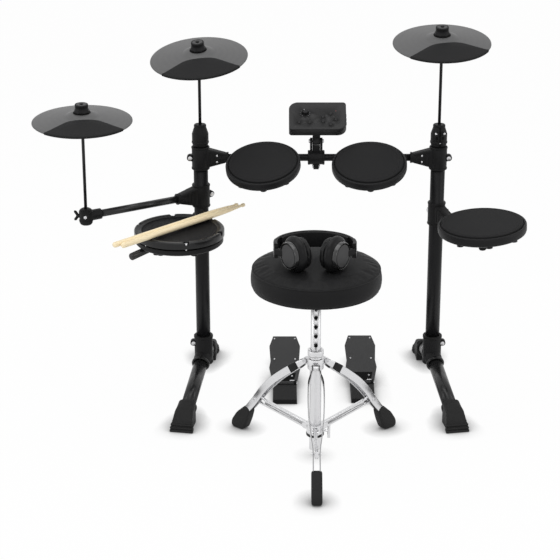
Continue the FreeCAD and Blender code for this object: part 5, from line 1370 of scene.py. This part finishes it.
@dataclass
class Swell:
    """A soft piece, filled out from its solid by a short cloth run; sizes in mm."""

    name: str
    node: str
    finish: Finish
    body: str
    slot: str
    fill: float
    voxel: float
    inset: float
    cap: float
    slack: float
    pressure: float = 4.0
    frames: int = 20
    smoothing: int = 6

    def make(self, held: Callable[[Vector], float]) -> Thing:
        """Makes the piece.

        Args:
            held: How firmly a point is held, from 0 to 1.

        Returns:
            The new object.
        """
        thing = self.copy()
        self.run(thing, held)
        thing.data.materials.clear()
        thing.data.materials.append(self.finish.material())
        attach(thing, self.body)
        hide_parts(self.node)
        return thing

    def copy(self) -> Thing:
        """A remeshed copy of the solid, smoothed and drawn in a little."""
        thing = linked(self.name, frame["nodes"][self.node].data.copy())
        remesh = thing.modifiers.new("remesh", "REMESH")
        remesh.mode = "VOXEL"
        remesh.voxel_size = self.voxel * MM
        self.settle(thing)
        thing.modifiers.remove(remesh)
        made = bmesh.new()
        made.from_mesh(thing.data)
        for _ in range(self.smoothing):
            bmesh.ops.smooth_vert(made, verts=made.verts, factor=0.5, use_axis_x=True, use_axis_y=True,
                                  use_axis_z=True)
        made.normal_update()
        for vertex in made.verts:
            vertex.co -= vertex.normal * (self.inset * MM)
        made.to_mesh(thing.data)
        made.free()
        return thing

    @staticmethod
    def settle(thing: Thing) -> None:
        """Gives an object the mesh that its modifiers make of it."""
        graph = bpy.context.evaluated_depsgraph_get()
        graph.update()
        thing.data = bpy.data.meshes.new_from_object(thing.evaluated_get(graph))

    def run(self, thing: Thing, held: Callable[[Vector], float]) -> None:
        """Swells the copy and keeps each point within the cap.

        Args:
            thing: The remeshed copy.
            held: How firmly a point is held, from 0 to 1.
        """
        start = [v.co.copy() for v in thing.data.vertices]
        grip = thing.vertex_groups.new(name="held")
        for i, point in enumerate(start):
            grip.add([i], held(point), "REPLACE")
        cloth = thing.modifiers.new("cloth", "CLOTH")
        cloth.settings.quality = 6
        cloth.settings.vertex_group_mass = "held"
        cloth.settings.use_pressure = True
        cloth.settings.uniform_pressure_force = self.pressure
        cloth.settings.shrink_min = -self.slack
        cloth.settings.effector_weights.gravity = 0.0
        cloth.collision_settings.use_collision = False
        scene = bpy.context.scene
        for step in range(1, self.frames + 1):
            scene.frame_set(step)
        self.settle(thing)
        thing.modifiers.clear()
        scene.frame_set(1)
        for vertex, old in zip(thing.data.vertices, start):
            shift = vertex.co - old
            if shift.length > self.cap * MM:
                vertex.co = old + shift.normalized() * (self.cap * MM)
        smooth = thing.modifiers.new("subdivision", "SUBSURF")
        smooth.levels = 1
        smooth.render_levels = 1
        thing.data.shade_smooth()


@dataclass
class Throne(Assembly):
    """The stool: padded seat, chrome post and folding legs; sizes in mm."""

    seat_low: float = 460.3
    seat_radius: float = 164.0
    base_height: float = 4.0
    seam_height: float = 52.0
    seam_reach: float = 6.0
    seam_band: float = 20.0
    lower_seam: float = 5.0
    piping: float = 1.5
    piping_steps: int = 180
    leg_pivot: Point = (30.0, 258.0)
    brace_pin: Point = (196.0, 101.0)
    strap_width: float = 19.0
    strap_thickness: float = 3.0
    rivet_seat: float = 9.9
    # the stretch of a strap's rows that a gloss-black band of painted shade and dark reflection covers, and how far
    # that band stands out
    clip_rows: tuple[int, int] = (16, 22)
    clip_swell: float = 0.09
    bearings: dict[str, float] = field(default_factory=lambda: {"front": -90.0, "left": 139.0, "right": 41.0})
    # share of the way from the pivot to the brace's pin, bow, sideways place and share of the width
    strap_line: tuple[tuple[float, ...], ...] = (
        (-0.024, -0.002, 8.5, 0.35), (-0.012, -0.001, 8.5, 0.6), (0.03, 0.001, 8.5, 0.7), (0.09, 0.008, 12.2, 0.85),
        (0.19, 0.018, 18.4, 1.0), (0.37, 0.036, 20.0, 1.0), (0.58, 0.0456, 18.6, 1.0), (0.79, 0.034, 14.2, 1.0),
        (0.92, 0.0144, 10.1, 1.0), (1.0, 0.0, 8.5, 1.0), (1.1, -0.015, 8.5, 1.0), (1.21, -0.03, 8.5, 0.9))
    foot_line: tuple[Point, ...] = (
        (213.8, 63.3), (222, 34), (234, 6), (243, 0), (274, 0), (280, 6), (279, 20), (262, 46), (230.2, 74.7))

    def axis(self, height: float = 0) -> Matrix:
        """A place on the stool's upright axis."""
        return upright("seat_spin", height)

    def build(self) -> list[Thing]:
        """Dresses the metalwork, and makes the legs, cushion, piping and rings."""
        made = [dress("seat_plate", CLAMP), dress("seat_post", SATIN), dress("tripod_tube", SATIN, bevel=0.5),
                dress("brace_collar", CHROME, bevel=0.5)]
        for which, bearing in self.bearings.items():
            made += [self.leg(which, bearing), dress("throne_brace_" + which, CHROME, bevel=0.5)]
        cushion = self.cushion()
        return made + [cushion, self.piping_round(cushion), *self.rings()]

    def leg(self, which: str, bearing: float) -> Thing:
        """A leg: two bowed straps with their rivets, a gloss-black band of painted shade and dark reflection near
        the pivot and darker strips of painted shade and dark reflection along their edges, and a flat rubber foot.

        Args:
            which: The leg's name.
            bearing: Its compass angle from x.

        Returns:
            The leg's object.
        """
        shape = Shape()
        start, end = (Vector((r, 0, z)) for r, z in (self.leg_pivot, self.brace_pin))
        line = end - start
        square = Vector((-line.z, 0, line.x))
        fine = smooth_line(self.strap_line, 5)
        points = [start + line * share + square * bow for share, bow, _, _ in fine]
        for sign in BOTH:
            rows: list[list[Vector]] = []
            # Darker metal strips along both edges of each strap: painted shade and dark reflection on the chrome.
            shaded_rims: tuple[list, list] = ([], [])
            for i, (_, _, y, width) in enumerate(fine):
                ahead = points[min(i + 1, len(points) - 1)] - points[max(i - 1, 0)]
                normal = Vector((-ahead.z, 0, ahead.x)).normalized()
                section = rectangle(self.strap_width * width, self.strap_thickness, 1.3, 3)
                rows.append([points[i] + normal * a + Vector((0, y * sign + b, 0)) for a, b in section])
                for rim, half in zip(shaded_rims, (0.5, -0.5)):
                    spot = points[i] + normal * (half * (self.strap_width * width - 0.8)) + Vector((0, y * sign, 0))
                    rim.append([spot + normal * a + Vector((0, b, 0)) for a, b in rectangle(1.2, 2.4, 0.4, 2)])
            shape.rings(rows, CHROME)
            for rim in shaded_rims:
                shape.rings(rim, STRAP_EDGE_SHADE)
            # A gloss-black band near the pivot: painted shade and dark reflection on the chrome.
            held = rows[slice(*self.clip_rows)]
            shade_band = [[point + (point - middle(row)) * self.clip_swell for point in row] for row in held]
            shape.rings(shade_band, COLLAR)
            for r, z in (self.leg_pivot, self.brace_pin):
                shape.screw(move(r, self.rivet_seat * sign, z) @ turn("X", -90 * sign), 4.6, 2.2, Recess.HEX)
        for r, z in (self.leg_pivot, self.brace_pin):
            pin = [(0, -10), (2.4, -10), (2.4, 10), (0, 10)]
            shape.lathe(pin, STEEL, move(r, 0, z) @ turn("X", 90), 20)
        shape.prism(soften(self.foot_line, 9), -13.5, 13.5, BOOT, turn("X", 90), ease=6.0, steps=5)
        place = self.axis() @ turn("Z", bearing)
        return shape.piece("stool_leg_" + which, "leg_" + which, place, ["throne_leg_" + which],
                           "throne_chrome", 40)

    def cushion(self) -> Thing:
        """The seat's cushion, held at its base and seam while it swells."""
        centre = self.axis(self.seat_low).translation

        def held(point: Vector) -> float:
            """Holds the base and the seam at the top edge."""
            at = point - centre
            height = at.z / MM
            radius = math.hypot(at.x, at.y) / MM
            if height < self.base_height:
                return 1.0
            near = abs(height - self.seam_height)
            return max(0.0, 1.0 - near / self.seam_reach) if radius > self.seat_radius - self.seam_band else 0.0

        return Swell("seat_pad", "seat_cushion", VINYL, "seat", "seat_vinyl", fill=0.8, voxel=5.0, inset=2.2,
                     cap=3.0, slack=0.004).make(held)

    def piping_round(self, cushion: Thing) -> Thing:
        """The cord in the seams, laid on the cushion where it is."""
        graph = bpy.context.evaluated_depsgraph_get()
        graph.update()
        shape = Shape()
        for height, thick in ((self.seam_height, self.piping), (self.lower_seam, self.piping * 0.8)):
            centre = self.axis(self.seat_low + height).translation
            path = []
            for i in range(self.piping_steps):
                angle = math.tau * i / self.piping_steps
                out = Vector((math.cos(angle), math.sin(angle), 0))
                origin = cushion.matrix_world.inverted() @ (centre + out * 0.3)
                hit, spot, _, _ = cushion.evaluated_get(graph).ray_cast(origin, -out)
                spot = cushion.matrix_world @ spot if hit else centre + out * (self.seat_radius - 3) * MM
                path.append((spot + out * (thick * 0.25 * MM)) / MM)
            shape.sweep(path, circle(thick, 10), UP, PIPING, looped=True)
        return shape.piece("seat_piping", "seat", slot="seat_vinyl", crease=60)

    def rings(self) -> list[Thing]:
        """The ring at the outer tube's top with a gloss-black band of painted dark reflection under it, the ring
        under the brace collar, and a near-black sleeve inside the post that paints shade in its holes.
        """
        tube, collar, stem = Shape(), Shape(), Shape()
        axis = self.axis()
        ring = [(14.9, 281), (19.4, 281.8), (20, 284), (20, 291), (19.2, 295), (14.9, 296)]
        tube.lathe(ring, CHROME, axis, 64, (1.2, 3))
        # A gloss-black band under the ring: painted dark reflection at the tube's top.
        tube.lathe([(15.6, 278.6), (19, 278.8), (19, 281.4), (15.6, 281.6)], COLLAR, axis, 64, (0.4, 2))
        bumper = [(16.6, 58.4), (21.4, 58.4), (23, 60.2), (23, 66.4), (16.6, 66.4)]
        collar.lathe(bumper, COLLAR, axis, 64, (1.0, 3))
        # A near-black sleeve inside the post: painted shade seen through its holes.
        stem.lathe([(9.6, 146), (10.7, 146), (10.7, 455), (9.6, 455)], SHADE_BLACK, axis, 48)
        return [tube.piece("tube_ring", "throne", slot="throne_chrome", crease=35),
                collar.piece("collar_bumper", "lower_collar", crease=35), stem.piece("post_lining", "seat_stem")]


@dataclass
class Headphones(Assembly):
    """The headphones on the seat; sizes in mm."""

    spacing: float = 84.0
    toe_out: float = 34.0
    height: float = 572.15
    band_radius: float = 97.0
    band_width: float = 36.0
    # how many degrees of the arc the band, its padding and each slider's sleeve cover
    band_sweep: float = 204.0
    padding_sweep: float = 128.0
    sleeve_sweep: float = 26.0

    def place(self) -> Matrix:
        """The point midway between the cups."""
        return upright("seat_spin") @ move(-4, -61, self.height)

    def cup_place(self, sign: int) -> Matrix:
        """A cup's middle, with z outward."""
        return self.place() @ move(self.spacing / 2 * sign) @ turn("Z", -self.toe_out * sign) @ turn("Y", 90 * sign)

    def cup(self, shape: Shape, sign: int) -> None:
        """A cup with its rim ring, its inset disc and a near-black well of painted shade round the disc."""
        place = self.cup_place(sign)
        body = [(0, 0.2), (39, 0.2), (42.6, 0.9), (45, 3), (45.4, 8), (44.4, 11.6), (41.6, 15.4), (38, 18.4),
                (36.2, 19.6), (34.6, 20), (0, 20.2)]
        shape.lathe(body, PHONES, place, soft=(1.2, 3))
        rim = [(31, 27.5), (31.3, 30.1), (32, 30.9), (32.8, 30.5), (33.6, 28.9), (34.4, 25.4), (34.8, 20.8),
               (33.8, 19.2), (31, 19.2)]
        shape.lathe(rim, PHONES_RING, place, soft=(0.4, 2))
        # A near-black disc under the inset disc, seen in the gap round it: painted shade in the well.
        shape.lathe([(0, 26.4), (31.2, 26.4), (31.2, 24.5), (0, 24.5)], SHADE_BLACK, place, 72)
        disc = [(0, 30.4), (27.4, 30.2), (28.4, 29.5), (28.4, 26.1), (0, 26)]
        shape.lathe(disc, PHONES_DISC, place, soft=(0.4, 3))

    def band(self, shape: Shape) -> None:
        """The headband with its padding, sliders and arms."""
        place = self.place()
        centre = place @ move(0, 38) @ turn("X", -3.2)

        def arc(radius: float, first: float, reach: float, count: int) -> list[Vector]:
            """Points along the band, about its middle."""
            angles = [math.radians(first + reach * i / count) for i in range(count + 1)]
            return [Vector((radius * math.cos(a), radius * math.sin(a), 0)) for a in angles]

        band = arc(self.band_radius, 90 - self.band_sweep / 2, self.band_sweep, 72)
        shape.sweep(band, rectangle(self.band_width, 7.6, 2.6), UP, PHONES, centre)
        padding = arc(self.band_radius - 5, 90 - self.padding_sweep / 2, self.padding_sweep, 48)
        lower = centre @ move(0, 0, -3.5)
        shape.sweep(padding, rectangle(self.band_width + 4, 6.5, 3), UP, EAR_LEATHER, lower)
        for sign in BOTH:
            first, reach = 90 - self.band_sweep / 2 * sign, self.sleeve_sweep * sign
            sleeve = arc(self.band_radius, first, reach, 10)
            shape.sweep(sleeve, rectangle(37.2, 9.4, 2.8), UP, PHONES, centre)
            tip = Vector((94.9 * sign, 17.8, 0))
            cup = self.cup_place(sign)
            seat = (place.inverted() @ cup @ Vector((0, 0, 13 * MM))) / MM
            bend = tip.lerp(seat, 0.45) + Vector((0, -3, 0))
            shape.sweep(curve(tip, bend, seat, 10), rectangle(17, 9, 3.5), UP, PHONES, place)
            hub = [(0, 10), (9, 10), (9, 16), (7.5, 17.4), (0, 17.4)]
            shape.lathe(hub, PHONES, cup @ move(0, 0, 2), 40, (1.0, 3))
            screw = centre @ move(*(sleeve[4] * 1.045)) @ turn("Z", first + reach * 4 / 10) @ turn("Y", 90)
            shape.screw(screw, 2.2, 1)

    def cushions(self) -> Thing:
        """The two ear rings, swollen from their solids and creased."""
        cups = [self.cup_place(sign).inverted() for sign in BOTH]

        def held(point: Vector) -> float:
            """Holds the rings where they meet the cups."""
            height = max((cup @ point).z for cup in cups) / MM
            return 1.0 if height > -3.0 else 0.0

        return Swell("ear_rings", "ear_cushions", EAR_LEATHER, "headset", "headphone_plastic", fill=0.7, voxel=2.0,
                     inset=0.9, cap=2.6, slack=0.06).make(held)

    def build(self) -> list[Thing]:
        """One piece for the hard parts and one for the ear rings."""
        shape = Shape()
        for sign in BOTH:
            self.cup(shape, sign)
        self.band(shape)
        hard = shape.piece("headset_frame", "headset", replaces=["headphones"], slot="headphone_plastic", crease=35)
        return [hard, self.cushions()]


@dataclass
class Drumsticks(Assembly):
    """The pair of sticks on the snare; sizes in mm."""

    length: float = 440.0
    thick: float = 7.2
    neck: float = 3.3
    tip: float = 5.2
    height: float = 44.6
    bearing: float = 46.8
    splay: float = 0.3
    ahead: float = 8.0
    stagger: float = 6.0
    apart: float = 7.95
    grain_turn: float = 50.0

    def build(self) -> list[Thing]:
        """Both sticks, each with its grain along it."""
        snare = Matrix.Translation(Snare().place().translation) @ move(0, 0, self.height)
        section = [(0, 0), (3.6, 0.3), (6.2, 1.8), (self.thick, 5), (self.thick, 345), (6.7, 370), (5.5, 395),
                   (4, 418), (self.neck, 424), (3.6, 426.5), (4.8, 429), (self.tip, 432), (5, 435.6),
                   (3.8, 438.6), (1.8, self.length - 0.2), (0, self.length)]
        made = []
        for word, sign in (("front", -1), ("back", 1)):
            shape = Shape()
            shape.lathe(section, STICK, sides=40, soft=(6.0, 4))
            butt = move(self.ahead - self.length / 2 - self.stagger * sign, self.apart * sign)
            place = snare @ turn("Z", self.bearing - self.splay * sign) @ butt @ turn("Y", 90)
            place = place @ turn("Z", self.grain_turn * sign)
            made.append(shape.piece("stick_" + word, "sticks", place, ["drumsticks"], "stick_wood", 60))
        return made


@dataclass
class Studio:
    """The pale floor, the soft lights and the camera; sizes in metres."""

    eye_across: float = -0.1039
    eye_back: float = 4.55
    eye_height: float = 2.072
    pitch: float = 69.0
    lens: float = 115.7
    fill_light: float = 0.55
    floor_half: float = 20.0
    floor_drop: float = 0.0004
    shadow_reach: float = 0.05
    shadow_power: float = 1.8
    lamps: tuple[tuple[str, tuple[float, float, float], Point, float], ...] = (
        ("overhead", (-0.3, -0.5, 3.0), (2.6, 2.2), 30.0), ("left_strip", (-2.6, -1.2, 1.4), (0.5, 2.2), 12.0),
        ("right_strip", (2.6, -1.0, 1.4), (0.5, 2.2), 10.0), ("front_fill", (0.4, -4.2, 2.4), (2.0, 1.2), 16.0))

    def centre(self) -> Vector:
        """The point on the floor midway between the posts."""
        return (post(Side.LEFT).translation + post(Side.RIGHT).translation) / 2

    def camera(self) -> None:
        """A long lens from the front, a little to the left and looking down."""
        data = bpy.data.cameras.new("view")
        data.lens = self.lens
        data.sensor_width = 36.0
        data.clip_end = 100.0
        view = linked("view", data)
        view.location = self.centre() + Vector((self.eye_across, -self.eye_back, self.eye_height))
        view.rotation_euler = (math.radians(self.pitch), 0, 0)
        bpy.context.scene.camera = view

    def light(self) -> None:
        aim = self.centre() + Vector((0, -0.1, 0.55))
        for name, offset, size, power in self.lamps:
            data = bpy.data.lights.new(name, "AREA")
            data.shape = "RECTANGLE"
            data.size, data.size_y = size
            data.energy = power
            at = self.centre() + Vector(offset)
            lamp = linked(name, data)
            lamp.location = at
            lamp.rotation_euler = (aim - at).to_track_quat("-Z", "Y").to_euler()

    def sky(self) -> None:
        """A white surround for what is seen and mirrored, and plain fill light for the rest."""
        graph = Graph(bpy.data.worlds.new("studio"))
        fill, white = (graph.node("ShaderNodeBackground", inputs={"Color": (1, 1, 1, 1), "Strength": strength})
                       for strength in (self.fill_light, 1.0))
        graph.end(graph.blended(graph.seen(), fill, white))
        bpy.context.scene.world = graph.owner

    def floor(self) -> None:
        graph = Graph(bpy.data.materials.new("studio_floor"))
        reach = {"Distance": self.shadow_reach}
        near = graph.node("ShaderNodeAmbientOcclusion", {"samples": 12}, reach, output="AO")
        shade = graph.mixed(near ** self.shadow_power, (0.05, 0.05, 0.051), (1.0, 1.0, 1.0))
        glow = graph.node("ShaderNodeEmission", inputs={"Color": shade, "Strength": 1.0})
        matt = graph.node("ShaderNodeBsdfDiffuse", inputs={"Color": (0.9, 0.9, 0.9, 1.0)})
        graph.end(graph.blended(graph.seen() * 0.97, matt, glow))
        data = bpy.data.meshes.new("studio_floor")
        corners = [(x, y, 0) for x, y in rectangle(2 * self.floor_half, 2 * self.floor_half)]
        data.from_pydata(corners, [], [(0, 1, 2, 3)])
        data.materials.append(graph.owner)
        thing = linked("studio_floor", data)
        thing.location.z = -self.floor_drop

    def build(self) -> None:
        """Sets up the camera, the surround, the floor and the lamps."""
        for step in (self.camera, self.sky, self.floor, self.light):
            step()
        bpy.context.scene.view_settings.view_transform = "Standard"


def main() -> None:
    """Builds the sub-assemblies in order and reports each piece."""
    logging.basicConfig(level=logging.INFO, format="%(name)s: %(message)s")
    cymbals = (("hihat", 3.0, 8.5, 49.5), ("crash", 11.0, 5.0, 51.0), ("ride", 9.0, 10.0, 53.0))
    assemblies: list[Assembly] = [
        Rack(), Arms(), *(Cymbal(*values) for values in cymbals), Snare(), *rubber_pads(), Module(),
        Pedal(Side.LEFT), Pedal(Side.RIGHT), Throne(), Headphones(), Drumsticks()]
    dress("pedal_bases", PEDAL_BASE, BOOT, limit=36.0, bevel=0.6)
    for assembly in assemblies:
        for made in assembly.build():
            log.info("%s: %s, %d faces", type(assembly).__name__, made.name, len(made.data.polygons))
    Studio().build()


if __name__ == "__main__":
    main()
